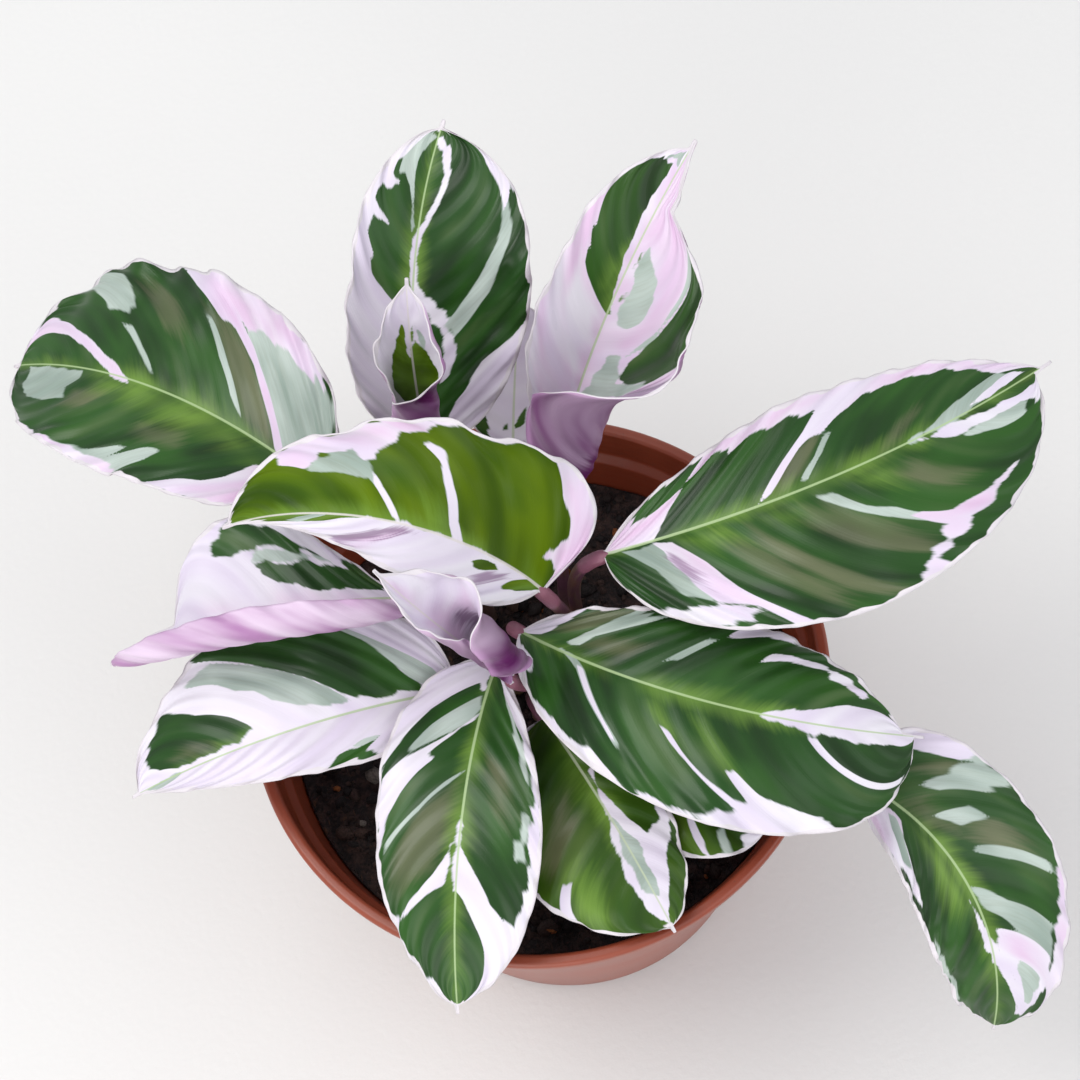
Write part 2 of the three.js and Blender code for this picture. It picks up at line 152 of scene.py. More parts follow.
GREEN, LIME, PAINTED_SHEEN, GREY, WHITE, PINK, PURPLE_AND_SHADE = Tone
FIELDS = ("pale", "white", "pink", "lime", "painted_sheen", "purple_and_shade")
RAISED = {
    GREEN: (),
    LIME: ("lime",),
    PAINTED_SHEEN: ("painted_sheen",),
    GREY: ("pale",),
    WHITE: ("pale", "white"),
    PINK: ("pale", "white", "pink"),
    PURPLE_AND_SHADE: ("pale", "white", "purple_and_shade"),
}
RIB_UNITS = (1000.0, 100.0)  # a corner is written in thousandths of q and hundredths of t
ALONG_RIB = 0.45  # what a length along the ribs counts for, so that ends fray further than sides
FAR = 0.02  # a depth that no patch changes


@dataclass(frozen=True)
class Patch:
    """A patch of one tone, as the corners of its outline in rib coordinates.

    A corner is (q, t): q is where along the midrib, 0 at the base and 1 at the tip, the side rib
    through it starts, and t how far out it lies, -1 on the left margin and 1 on the right. Both
    are whole numbers of RIB_UNITS.
    """

    tone: Tone
    corners: tuple[tuple[int, int], ...]

    def depth(self, q: Array, t: Array, length: float, width: float) -> Array:
        """Depth inside the patch, in metres, and below zero outside it.

        It is the distance to the nearest edge of the outline.

        Args:
            q: Rib coordinate of each place.
            t: Place across the blade.
            length: Length of the blade.
            width: Full half width of the blade.

        Returns:
            The signed depth at each place.
        """
        scale = np.array([length, width * ALONG_RIB])
        corners = np.array(self.corners) / RIB_UNITS * scale
        x, y = q * scale[0], t * scale[1]
        nearest = np.full(q.shape, np.inf)
        inside = np.zeros(q.shape, dtype=bool)
        for (ax, ay), (bx, by) in zip(corners, np.roll(corners, -1, axis=0)):
            dx, dy = bx - ax, by - ay
            share = np.clip(((x - ax) * dx + (y - ay) * dy) / (dx * dx + dy * dy), 0.0, 1.0)
            nearest = np.minimum(nearest, np.hypot(x - ax - share * dx, y - ay - share * dy))
            inside ^= ((ay > y) != (by > y)) & (x < ax + (y - ay) * dx / (dy if dy else TINY))
        return np.where(inside, nearest, -nearest)


@dataclass(frozen=True)
class Markings:
    """The markings of one blade: its ground tone and the patches laid over it, in order."""

    ground: Tone
    patches: tuple[Patch, ...]

    def fields(self, q: Array, t: Array, length: float, width: float) -> dict[str, Array]:
        """Signed depth of each kind of colour at every place.

        Laying a patch raises the fields of its own tone to its depth and cuts the others back by
        it, as paint over paint does.

        Args:
            q: Rib coordinate of each place.
            t: Place across the blade.
            length: Length of the blade.
            width: Full half width of the blade.

        Returns:
            The fields of FIELDS, in metres.
        """
        start = RAISED[self.ground]
        made = {name: np.full(q.shape, FAR if name in start else -FAR) for name in FIELDS}
        for laid in self.patches:
            depth = laid.depth(q, t, length, width)
            for name, values in made.items():
                if name in RAISED[laid.tone]:
                    made[name] = np.maximum(values, depth)
                else:
                    made[name] = np.minimum(values, -depth)
        return made


# ---- The form of a leaf ----


@dataclass(frozen=True)
class Half:
    """One half of a blade, from midrib to margin.

    full and taper round it towards the base and the tip. fold and curl are degrees at even
    steps from base to tip, and wave the margin's waves as height, count and phase. bend above 1
    keeps the curl near the margin, and end is where the body runs out.
    """

    width: float
    full: float
    taper: float
    fold: tuple[float, ...]
    curl: tuple[float, ...]
    wave: Triple
    bend: float = 1.0
    end: float = BODY_END

    def width_at(self, s: Array) -> Array:
        """Half width at s: a rounded body x^full (1 - x)^taper that runs on into a drawn-out tip.

        Args:
            s: Rows along the blade.

        Returns:
            A width for each row.
        """
        x = np.clip(s / self.end, 0.0, 1.0)
        peak = self.full / (self.full + self.taper)
        body = (x / peak) ** self.full * ((1.0 - x) / (1.0 - peak)) ** self.taper
        tip = TIP_WIDTH * np.clip((1.0 - s) / (1.0 - TIP_START), 0.0, 1.0) * np.clip(2.0 * s, 0.0, 1.0)
        least = BASE_HALF_WIDTH + (TIP_HALF_WIDTH - BASE_HALF_WIDTH) * s
        return np.maximum(self.width * np.hypot(body, tip), least)

    def wave_at(self, s: Array) -> Array:
        """Height of the margin's slow waves with a quicker one over them, fading at both ends.

        Args:
            s: Rows along the blade.

        Returns:
            A height for each row.
        """
        height, count, phase = self.wave
        times, more = QUICK_PHASE
        slow = np.sin(2.0 * np.pi * (count * s + phase))
        quick = QUICK_HEIGHT * np.sin(2.0 * np.pi * (QUICK_COUNT * count * s + times * phase + more))
        return height * (slow + quick) * np.sin(np.pi * np.clip(s, 0.0, 1.0)) ** WAVE_FADE

    def section(self, s: Array, cells: int, steps: int = 6) -> tuple[Array, Array]:
        """Outward and upward run of every row across this half.

        The slope is fold + curl share^bend, and the runs are the sums of its cosine and sine
        times the width, taken at the middles of small steps. The margin's waves stand on it.

        Args:
            s: Rows along the blade.
            cells: Cells from midrib to margin.
            steps: Steps in a cell.

        Returns:
            Two arrays of one row for each s and cells + 1 columns.
        """
        width = self.width_at(s)[:, None]
        fold = np.radians(along(self.fold, s))[:, None]
        wanted = np.radians(along(self.curl, s))[:, None]
        curl = np.sign(wanted) * np.minimum(np.abs(wanted), width / MIN_BEND_RADIUS)
        middles = (np.arange(cells * steps) + 0.5)[None] / (cells * steps)
        slope = fold + curl * middles**self.bend
        start = np.zeros((len(s), 1))
        outward = np.hstack([start, np.cumsum(np.cos(slope), axis=1)[:, steps - 1 :: steps]])
        upward = np.hstack([start, np.cumsum(np.sin(slope), axis=1)[:, steps - 1 :: steps]])
        share = np.linspace(0.0, 1.0, cells + 1)[None]
        ends = fold + curl * share**self.bend
        wave = self.wave_at(s)[:, None] * share**WAVE_POWER
        scale = width / (cells * steps)
        return outward * scale - wave * np.sin(ends), upward * scale + wave * np.cos(ends)


@dataclass(frozen=True)
class Leaf:
    """A leaf: a blade that is a midrib with two halves, its stalk's root, and its markings.

    base is where the blade starts, root where the stalk stands in the soil, heading the compass
    angle of the midrib from +X, swing how far it turns left, rise its angle up at the base and
    droop how far it turns down. lead is how far towards the tip a side rib of the left and of the
    right half runs to the margin, as a share of the length, and blush how purple the underside is.
    The last field is how yellow its greens are: partly the yellower green of a new leaf, and
    partly painted light that shines through the blade from behind.
    """

    name: str
    base: Triple
    root: tuple[float, float]
    length: float
    heading: float
    swing: float
    rise: float
    droop: float
    left: Half
    right: Half
    markings: Markings
    lead: tuple[float, float] = (0.26, 0.26)
    blush: float = 0.3
    youth_and_backlight: float = 0.0

    def direction(self, s: Array) -> Array:
        """Unit direction of the midrib at each s.

        Args:
            s: Places along the midrib.

        Returns:
            A vector for each place, at heading + swing s round and rise - droop s up.
        """
        heading = np.radians(self.heading + self.swing * s)
        pitch = np.radians(self.rise - self.droop * s)
        flat = np.cos(pitch)
        return np.stack([np.cos(heading) * flat, np.sin(heading) * flat, np.sin(pitch)], axis=-1)

    def midrib(self, s: Array, steps: int = 600) -> tuple[Array, Array, Array]:
        """The midrib's points, the way to the right half and the way up, at each s.

        A point is the base plus the length times the sum of the direction up to s, taken at the
        middles of small steps.

        Args:
            s: Places along the midrib.
            steps: Steps in the sum.

        Returns:
            Three arrays of vectors.
        """
        middles = (np.arange(steps) + 0.5) / steps
        run = np.vstack([np.zeros(3), np.cumsum(self.direction(middles), axis=0)]) * self.length / steps
        known = np.linspace(0.0, 1.0, steps + 1)
        point = np.stack([np.interp(s, known, run[:, k]) for k in range(3)], axis=-1) + self.base
        heading = np.radians(self.heading + self.swing * s)
        across = np.stack([np.sin(heading), -np.cos(heading), np.zeros_like(heading)], axis=-1)
        return point, across, np.cross(across, self.direction(s))

    def sheet(self, s: Array, cells: int) -> Array:
        """Upper face of the blade as a grid of points, left margin first.

        Args:
            s: Rows along the blade.
            cells: Cells across each half.

        Returns:
            An array of rows by 2 cells + 1 points.
        """
        point, across, up = self.midrib(s)
        halves = []
        for sign, half in ((-1.0, self.left), (1.0, self.right)):
            outward, upward = half.section(s, cells)
            sideways = across[:, None] * (sign * outward)[..., None]
            halves.append(point[:, None] + sideways + up[:, None] * upward[..., None])
        return np.hstack([halves[0][:, :0:-1], halves[1]])

    def widths(self, s: Array, t: Array) -> Array:
        """Width of the half that each column t lies in, for each row s."""
        return np.where(t[None] < 0, self.left.width_at(s)[:, None], self.right.width_at(s)[:, None])

    def wider(self) -> float:
        """Full width of the wider half."""
        return max(self.left.width, self.right.width)

    def rib(self, s: Array, t: Array) -> Array:
        """Where along the midrib the side rib through each place starts.

        A side rib leaves the midrib on a slant and arches towards the tip, so the place's s is
        ahead of it by lead (|t| + t^2) / 2.

        Args:
            s: Rows along the blade.
            t: Columns across it.

        Returns:
            A grid of q.
        """
        out = np.abs(t)
        lead = np.where(t < 0, *self.lead)
        return s[:, None] - (lead * (0.5 * out + 0.5 * out * out))[None]


# ---- The fifteen leaves ----

LEFT_REAR = Leaf(
    name="left_rear", base=(-0.034, 0.037, 0.128), root=(-0.009, 0.018), length=0.084,
    heading=131, swing=20, rise=16, droop=52, lead=(0.26, 0.4),
    left=Half(0.0215, 0.38, 0.42, (25, 10, 5), (-5, -10, -5), (0.0012, 3, 0.1)),
    right=Half(0.0275, 0.47, 0.38, (25, 12, 10), (10, -15, -20), (0.0016, 4, 0.3)),
    markings=Markings(GREEN, (
        PAINTED_SHEEN((140, 5), (230, 8), (240, 40), (230, 70), (180, 75), (150, 50)),
        PAINTED_SHEEN((340, 45), (420, 45), (400, 70), (340, 85), (320, 70)),
        PAINTED_SHEEN((570, -45), (620, -50), (660, -30), (580, -20)),
        PAINTED_SHEEN((240, -50), (340, -56), (400, -40), (300, -34)),
        PINK((-350, -100), (110, -100), (90, -84), (55, -76), (60, -60), (85, -45), (110, -28), (-50, -20),
            (-350, -90)),
        GREY((200, -100), (210, -90), (215, -75), (250, -60), (275, -62), (300, -86), (312, -68),
            (340, -64), (360, -84), (450, -93), (500, -100)),
        PINK((200, -100), (210, -94), (280, -88), (360, -88), (450, -93), (550, -95), (650, -95),
            (720, -100)),
        LIME((100, -30), (200, -26), (300, -27), (360, -32), (460, -24), (560, -17), (620, -22),
            (650, -10), (600, 0), (450, 3), (360, 1), (300, 7), (200, -10)),
        GREY((650, -42), (700, -54), (780, -60), (840, -42), (880, -22), (920, -5), (720, -4), (700, -15),
            (700, -30)),
        GREY((-320, 100), (-200, 70), (-80, 40), (100, 2), (130, 2), (130, 60), (100, 80), (-50, 84)),
        PINK((112, 0), (140, 2), (138, 30), (138, 52), (160, 70), (200, 70), (213, 85), (210, 100),
            (-340, 100), (-240, 92), (-100, 80), (50, 76), (120, 75), (108, 50), (108, 22)),
        GREEN((-350, 100), (-300, 96), (-220, 93), (-240, 98), (-300, 100)),
        GREY((235, 10), (260, 20), (265, 42), (250, 64), (230, 66), (243, 40), (240, 20)),
        GREY((410, 88), (460, 66), (520, 50), (560, 54), (540, 72), (500, 95), (440, 100)),
        GREY((490, 6), (510, 10), (530, 22), (550, 42), (520, 44), (515, 26)),
        PINK((560, -6), (630, -2), (700, 13), (760, 36), (800, 50), (740, 75), (680, 100), (550, 100),
            (660, 80), (710, 55), (705, 36), (650, 16)),
    )),
)

REAR = Leaf(
    name="rear", base=(-0.013, 0.047, 0.118), root=(-0.002, 0.025), length=0.069,
    heading=82, swing=-26, rise=66, droop=42, lead=(0.26, 0.44),
    left=Half(0.0146, 0.5, 0.6, (35, 25, 10), (30, 30, 10), (0.0008, 2, 0.1)),
    right=Half(0.024, 0.55, 0.42, (25, 10, 5), (-10, -10, -10), (0.001, 3, 0.3)),
    markings=Markings(GREEN, (
        WHITE((-400, -100), (740, -100), (660, -74), (640, -70), (600, -82), (560, -84), (530, -78),
            (480, -80), (475, -64), (450, -70), (430, -62), (435, -45), (430, -25), (400, 0), (-100, 0)),
        WHITE((530, -84), (560, -80), (580, -66), (600, -48), (565, -62)),
        WHITE((600, -88), (640, -78), (670, -66), (700, -52), (650, -66)),
        GREY((660, -10), (720, -16), (750, -30), (740, -50), (700, -62), (720, -74), (800, -72),
            (860, -50), (920, -20), (940, -6), (900, -22), (840, -34), (790, -30), (740, -16), (680, -8)),
        WHITE((700, -100), (1000, -100), (1000, 0), (960, -4), (880, -50), (800, -68), (720, -72),
            (660, -82)),
        WHITE((140, 30), (200, 34), (260, 32), (330, 26), (400, 16), (470, 3), (520, -4), (580, -7),
            (650, -6), (700, 4), (760, 13), (800, 17), (860, 16), (910, 5), (950, -3), (930, 10),
            (870, 23), (800, 25), (740, 20), (680, 7), (600, 1), (530, 3), (470, 12), (400, 23), (330, 33),
            (260, 39), (190, 41), (140, 38)),
        WHITE((-400, 100), (-300, 80), (-100, 50), (0, 52), (10, 60), (70, 68), (50, 80), (30, 90),
            (30, 100)),
        GREY((260, 40), (330, 29), (340, 38), (370, 52), (420, 68), (480, 76), (520, 80), (500, 92),
            (420, 87), (350, 78), (300, 66), (280, 55)),
        WHITE((470, 78), (550, 80), (610, 78), (580, 88), (520, 100), (400, 100), (460, 92)),
    )),
)

REAR_RIGHT = Leaf(
    name="rear_right", base=(0.015, 0.038, 0.122), root=(0.009, 0.021), length=0.07,
    heading=44, swing=0, rise=66, droop=48, lead=(0.26, 0.44), blush=0.85, youth_and_backlight=0.1,
    left=Half(0.015, 0.7, 0.7, (50, 40, 20), (30, 20, 10), (0.0006, 2, 0.1)),
    right=Half(0.033, 0.5, 0.8, (10, 5, 5), (90, 215, 60, 25, 10), (0.001, 2, 0.3), bend=1.3, end=0.8),
    markings=Markings(PINK, (
        PAINTED_SHEEN((560, -38), (620, -44), (640, -25), (580, -16)),
        WHITE((-300, -100), (200, -100), (100, -80), (-200, -70)),
        WHITE((200, -10), (450, -10), (440, -70), (300, -60)),
        GREEN((460, 2), (465, -15), (465, -40), (460, -60), (478, -68), (490, -63), (500, -78), (520, -72),
            (540, -92), (600, -94), (680, -88), (760, -70), (820, -48), (870, -28), (850, -18), (780, -20),
            (700, -15), (600, -9), (530, -3)),
        LIME((490, -26), (560, -24), (580, -14), (500, -8)),
        GREY((780, -66), (860, -48), (930, -20), (940, -4), (900, -6), (880, -30), (820, -52)),
        WHITE((860, -60), (1000, -40), (1000, 50), (900, 0), (930, -20)),
        GREY((190, 4), (240, 6), (330, 12), (330, 20), (280, 22), (240, 28), (220, 42), (190, 60),
            (140, 70), (170, 50), (200, 30)),
        GREEN((220, 42), (250, 28), (300, 30), (340, 38), (360, 50), (360, 65), (350, 80), (330, 100),
            (80, 100), (130, 86), (170, 74), (160, 68), (200, 58)),
        GREY((320, 24), (360, 34), (385, 55), (385, 80), (350, 100), (330, 100), (360, 70), (365, 50),
            (340, 36)),
        GREY((410, 18), (430, 10), (480, 6), (550, 12), (620, 8), (660, 16), (580, 22), (520, 35),
            (470, 33), (420, 25)),
        GREEN((490, 3), (520, 4), (530, 8), (500, 8)),
        GREEN((600, 4), (640, 6), (660, 10), (620, 10)),
        GREEN((-350, 90), (-200, 66), (0, 44), (0, 50), (-150, 72), (-300, 100)),
        PURPLE_AND_SHADE((0, 50), (150, 60), (100, 100), (-200, 100)),
    )),
)

RIGHT = Leaf(
    name="right", base=(0.018, 0.0093, 0.1295), root=(0.011, 0.014), length=0.098,
    heading=-6, swing=34, rise=20, droop=34,
    left=Half(0.0178, 0.8, 0.75, (12, 6, 0), (0, -10, -10), (0.0008, 2.5, 0.2)),
    right=Half(0.027, 0.6, 0.65, (10, 4, 0), (-20, -15, -10), (0.0016, 2.5, 0.6), end=0.95),
    markings=Markings(GREEN, (
        PAINTED_SHEEN((190, 28), (210, 10), (240, 14), (240, 50), (220, 85), (180, 85)),
        PAINTED_SHEEN((250, 30), (275, 12), (290, 30), (285, 60), (270, 94), (240, 95)),
        PAINTED_SHEEN((350, 10), (420, 16), (440, 40), (420, 75), (380, 85), (360, 50)),
        PAINTED_SHEEN((560, 20), (620, 14), (620, 50), (570, 50)),
        PAINTED_SHEEN((350, -50), (380, -52), (400, -45), (400, -15), (360, -3), (345, -20)),
        PAINTED_SHEEN((580, -2), (600, -30), (620, -42), (640, -30), (620, -2)),
        PINK((-300, -100), (-120, -85), (-90, -70), (-20, -60), (0, -62), (30, -75), (60, -50), (90, -20),
            (102, -2), (0, 2), (-100, -10)),
        PINK((5, -100), (18, -74), (40, -78), (50, -88), (80, -87), (100, -85), (120, -77), (150, -85),
            (330, -78), (400, -70), (450, -78), (520, -82), (600, -79), (660, -77), (740, -62), (800, -50),
            (860, -70), (800, -100)),
        PINK((325, -84), (450, -84), (430, -70), (410, -62), (400, -50), (380, -54), (355, -46),
            (348, -30), (340, -10), (322, -3), (330, -30), (338, -60)),
        GREY((405, -50), (425, -50), (432, -30), (420, -8), (400, -10), (412, -30)),
        GREY((640, 0), (700, -10), (740, -22), (780, -36), (790, -50), (860, -36), (880, -16), (830, -6),
            (740, 4)),
        WHITE((780, -6), (820, -24), (830, -42), (890, -30), (880, -14), (820, -4)),
        GREY((30, 6), (100, 6), (98, 30), (60, 58), (30, 74), (-10, 70), (30, 42)),
        PINK((100, 5), (130, 8), (134, 36), (112, 62), (104, 80), (95, 100), (65, 100), (80, 80), (30, 76),
            (50, 55), (80, 35), (100, 18)),
        PURPLE_AND_SHADE((85, 26), (100, 26), (90, 46), (60, 60), (55, 54)),
        WHITE((-200, 100), (-100, 88), (0, 79), (50, 77), (80, 84), (20, 90), (-40, 97), (-80, 100)),
        LIME((150, 10), (240, 6), (240, 18), (180, 22)),
        LIME((310, 12), (380, 12), (370, 22), (330, 22)),
        LIME((500, 10), (580, 12), (560, 20), (510, 18)),
        GREY((420, 10), (450, 12), (460, 30), (482, 42), (485, 60), (465, 62), (456, 46), (440, 34)),
        PINK((470, 52), (488, 54), (500, 68), (580, 71), (650, 77), (550, 79), (460, 83), (360, 90),
            (340, 100), (280, 100), (340, 88), (420, 80), (460, 73)),
        GREY((715, 20), (750, 15), (800, 20), (830, 30), (820, 44), (780, 52), (750, 38)),
        WHITE((660, 2), (740, 3), (840, 14), (880, 28), (840, 56), (760, 82), (720, 84), (780, 62),
            (820, 44), (830, 32), (770, 20), (700, 13)),
    )),
)

FRONT_CURL = Leaf(
    name="front_curl", base=(0.0048, 0.0044, 0.1305), root=(0.011, 0.008), length=0.071,
    # the olive yellow of this leaf is painted light shining through the curled blade
    heading=151, swing=17, rise=61, droop=98, blush=0.5, youth_and_backlight=1.0,
    left=Half(0.011, 0.9, 1.9, (0, -5, 0), (0, 0, 0), (0.0005, 2, 0.1)),
    right=Half(0.024, 0.3, 0.78, (25, 22, 20), (30, 52, 30), (0.0012, 3, 0.3)),
    markings=Markings(GREEN, (
        WHITE((-400, -100), (800, -100), (720, -70), (660, -50), (630, -30), (610, -12), (560, 0),
            (200, 0), (60, -2), (70, -30), (50, -50), (20, -60), (-20, -56), (-60, -40), (-60, -10),
            (-300, -70)),
        GREY((620, -100), (1000, -100), (1000, 20), (930, 0), (880, -30), (800, -50), (700, -62),
            (660, -50), (700, -75)),
        GREY((650, -50), (700, -46), (720, -20), (700, 0), (660, -4), (670, -24)),
        LIME((-60, -50), (0, -58), (40, -30), (50, -4), (200, 2), (100, 10), (0, 0)),
        LIME((140, -20), (160, -30), (185, -33), (220, -24), (210, -14), (170, -10)),
        PURPLE_AND_SHADE((80, -70), (120, -64), (150, -50), (150, -30), (110, -20), (90, -30), (90, -50)),
        PURPLE_AND_SHADE((350, -100), (400, -100), (460, -82), (500, -55), (500, -25), (470, -10), (410, -8),
            (410, -13), (430, -30), (420, -50), (400, -72)),
        PINK((370, -84), (400, -84), (440, -60), (455, -30), (440, -16), (430, -50)),
        PINK((-350, 100), (-200, 70), (-20, 30), (30, 25), (-20, 45), (-80, 60), (-70, 70), (-30, 74),
            (-40, 100)),
        WHITE((295, 0), (325, 2), (330, 10), (320, 30), (312, 45), (298, 60), (305, 74), (280, 76),
            (265, 70), (280, 56), (295, 42), (300, 30), (310, 14)),
        PINK((0, 100), (100, 97), (160, 98), (200, 93), (280, 86), (350, 74), (400, 66), (440, 58),
            (480, 60), (500, 74), (600, 60), (600, 76), (540, 96), (480, 100)),
        WHITE((475, 3), (490, 5), (500, 20), (505, 40), (490, 50), (475, 50), (483, 30)),
        GREY((480, 42), (500, 34), (550, 46), (600, 54), (560, 64), (500, 72), (440, 74), (460, 60)),
        LIME((330, 4), (400, 4), (390, 14), (350, 16)),
        LIME((490, 3), (540, 3), (540, 10), (500, 10)),
    )),
)

ROLLED = Leaf(
    name="rolled", base=(-0.0042, -0.0089, 0.1213), root=(0.006, 0.001), length=0.047,
    heading=168, swing=-29, rise=67, droop=11, blush=1.0, youth_and_backlight=1.0,
    left=Half(0.0075, 0.9, 1.1, (0, 0, 10), (80, 230, 150, 60, 10), (0.0, 2, 0)),
    right=Half(0.0185, 0.9, 1.2, (0, 0, 10), (100, 270, 235, 80, 10), (0.0, 2, 0)),
    markings=Markings(PINK, (
        LIME((-300, -100), (-100, -60), (100, -30), (200, -50), (220, -100)),
        WHITE((400, 80), (500, 60), (600, 20), (900, 10), (1000, 20), (900, 100), (400, 100)),
        WHITE((200, -10), (900, -10), (900, -100), (300, -100)),
        PURPLE_AND_SHADE((-300, 100), (-100, 40), (0, 10), (100, 0), (240, 8), (270, 25), (250, 50), (220, 70),
            (200, 100)),
        PURPLE_AND_SHADE((290, 30), (340, 22), (440, 18), (500, 22), (420, 40), (320, 44)),
    )),
)

LEFT_ROLLED_EDGE = Leaf(
    name="left_rolled_edge", base=(-0.019, 0.009, 0.128), root=(-0.01, 0.011), length=0.068,
    heading=176, swing=0, rise=24, droop=66, blush=0.12,
    left=Half(0.019, 0.5, 0.7, (10, 10, 10), (150, 170, 150), (0.0003, 2, 0.1), bend=1.6),
    right=Half(0.0205, 1.6, 0.7, (10, 10, 5), (0, -5, -10), (0.0008, 3, 0.3), end=0.73),
    markings=Markings(WHITE, (
        GREEN((-160, 100), (0, 52), (100, 33), (170, 24), (250, 21), (290, 22), (300, 28), (340, 30),
            (385, 38), (360, 43), (385, 46), (330, 50), (270, 49), (240, 53), (220, 56), (100, 66),
            (20, 76), (-50, 84), (-120, 100)),
        GREY((80, 72), (200, 60), (250, 52), (370, 50), (340, 58), (280, 65), (200, 67), (100, 75)),
        GREEN((100, 75), (200, 67), (300, 67), (360, 60), (400, 59), (430, 66), (410, 74), (380, 82),
            (330, 92), (260, 94), (200, 88), (150, 80)),
        LIME((-120, 98), (-20, 80), (50, 76), (0, 86), (-80, 100)),
        PINK((-300, -40), (500, -50), (900, -40), (1000, -100), (-300, -100)),
        PINK((150, 0), (500, 0), (600, 14), (500, 16), (300, 18), (180, 16)),
    )),
)

LEFT = Leaf(
    name="left", base=(-0.016, -0.0046, 0.1105), root=(-0.01, 0.004), length=0.071,
    heading=-172, swing=-4, rise=28, droop=60, lead=(0.3, 0.44),
    left=Half(0.011, 0.45, 1.0, (15, 10, 5), (-10, -15, -10), (0.0006, 2.5, 0.1)),
    right=Half(0.023, 0.45, 0.55, (20, 15, 10), (0, -5, -10), (0.0014, 3, 0.3)),
    markings=Markings(WHITE, (
        GREEN((-100, -100), (120, -100), (190, -76), (170, -67), (140, -72), (115, -58), (100, -72),
            (50, -86), (-50, -95)),
        GREY((110, -64), (140, -70), (180, -68), (170, -56), (130, -56)),
        GREY((700, -100), (1000, -100), (1000, 0), (820, 2), (800, -30), (760, -70)),
        GREY((50, 14), (80, 20), (20, 55), (20, 78), (-20, 80), (-60, 40), (0, 16)),
        GREEN((60, 14), (80, 8), (140, 7), (260, 10), (275, 20), (285, 40), (300, 60), (288, 95),
            (200, 100), (0, 100), (0, 64), (40, 40), (60, 25)),
        GREY((280, 11), (350, 13), (390, 17), (415, 24), (430, 30), (410, 44), (437, 50), (410, 62),
            (410, 78), (370, 87), (300, 85), (302, 60), (287, 40)),
        GREEN((545, 12), (600, 7), (700, 5), (810, 7), (830, 20), (800, 38), (700, 60), (600, 76),
            (480, 87), (530, 70), (560, 50), (545, 30)),
        PAINTED_SHEEN((670, 12), (740, 10), (780, 20), (700, 30)),
    )),
)

FRONT = Leaf(
    name="front", base=(-0.007, -0.0013, 0.112), root=(-0.005, 0.006), length=0.075,
    heading=-114, swing=12, rise=28, droop=80,
    left=Half(0.016, 0.95, 0.7, (12, 8, 5), (-10, -15, -20), (0.0007, 2.5, 0.1)),
    right=Half(0.017, 0.5, 0.7, (12, 8, 5), (-10, -15, -20), (0.0009, 3, 0.3)),
    markings=Markings(GREEN, (
        PAINTED_SHEEN((240, -50), (340, -62), (380, -40), (260, -30)),
        PAINTED_SHEEN((370, 12), (500, 10), (550, 30), (540, 50), (480, 80), (400, 80), (370, 50)),
        WHITE((-400, -100), (400, -100), (340, -82), (280, -86), (200, -90), (100, -91), (30, -84),
            (-20, -62), (-80, -50), (-300, -80)),
        GREY((-20, -62), (0, -76), (100, -86), (200, -86), (140, -78), (40, -70)),
        GREY((240, -86), (360, -80), (420, -68), (340, -72), (260, -78)),
        WHITE((300, -94), (400, -88), (500, -84), (550, -80), (590, -66), (600, -45), (570, -20),
            (530, -3), (460, 1), (530, 5), (600, 4), (650, 4), (660, -8), (690, -25), (720, -50),
            (770, -68), (850, -78), (900, -60), (950, -10), (1000, -20), (800, -100), (400, -100)),
        WHITE((-300, 100), (-100, 50), (0, 6), (100, 5), (60, 20), (52, 50), (52, 66), (80, 84), (120, 93),
            (150, 100)),
        GREY((110, 4), (160, 2), (190, 10), (200, 30), (190, 50), (170, 66), (150, 74), (120, 60),
            (115, 30)),
        WHITE((175, 0), (195, 8), (213, 30), (220, 50), (235, 48), (250, 42), (250, 56), (256, 75),
            (280, 88), (330, 95), (350, 100), (140, 100), (155, 84), (180, 64), (198, 40), (197, 20)),
        GREY((340, 5), (356, 20), (368, 50), (352, 90), (332, 90), (350, 50), (342, 25)),
        WHITE((520, 8), (570, 11), (615, 17), (600, 32), (588, 50), (565, 70), (530, 92), (520, 100),
            (495, 100), (535, 76), (563, 50), (568, 30), (555, 18)),
        WHITE((650, 100), (680, 86), (750, 70), (780, 70), (800, 100)),
    )),
)

FRONT_LOW = Leaf(
    name="front_low", base=(0.0, -0.012, 0.1045), root=(-0.001, -0.001), length=0.051,
    heading=-69, swing=-4, rise=14, droop=38, youth_and_backlight=0.35,
    left=Half(0.011, 0.5, 0.5, (10, 5, 0), (-10, -20, -20), (0.0005, 2, 0.1)),
    right=Half(0.021, 0.5, 0.5, (10, 5, 0), (-10, -20, -30), (0.0007, 3, 0.3)),
    markings=Markings(GREEN, (
        WHITE((280, -90), (430, -90), (500, -78), (600, -62), (700, -50), (800, -35), (900, -15), (960, 0),
            (900, 16), (850, 22), (780, 20), (700, 17), (600, 10), (500, 3), (430, -2), (350, -6),
            (280, -12), (260, -20), (340, -13), (400, -12), (470, -22), (550, -43), (500, -55),
            (440, -72)),
        GREY((500, -2), (550, -12), (600, -22), (660, -15), (750, -20), (840, -10), (840, 0), (780, 10),
            (650, 8), (550, 2)),
        PAINTED_SHEEN((300, 30), (400, 30), (420, 70), (340, 80)),
        LIME((470, 64), (490, 50), (515, 60), (510, 70)),
        LIME((530, 60), (600, 50), (670, 70), (600, 95), (550, 90)),
        WHITE((470, 74), (490, 70), (505, 65), (520, 80), (545, 100), (480, 100)),
        LIME((200, -10), (400, -5), (400, 8), (200, 10)),
        WHITE((-300, -100), (-100, -60), (0, -10), (-100, -20)),
    )),
)

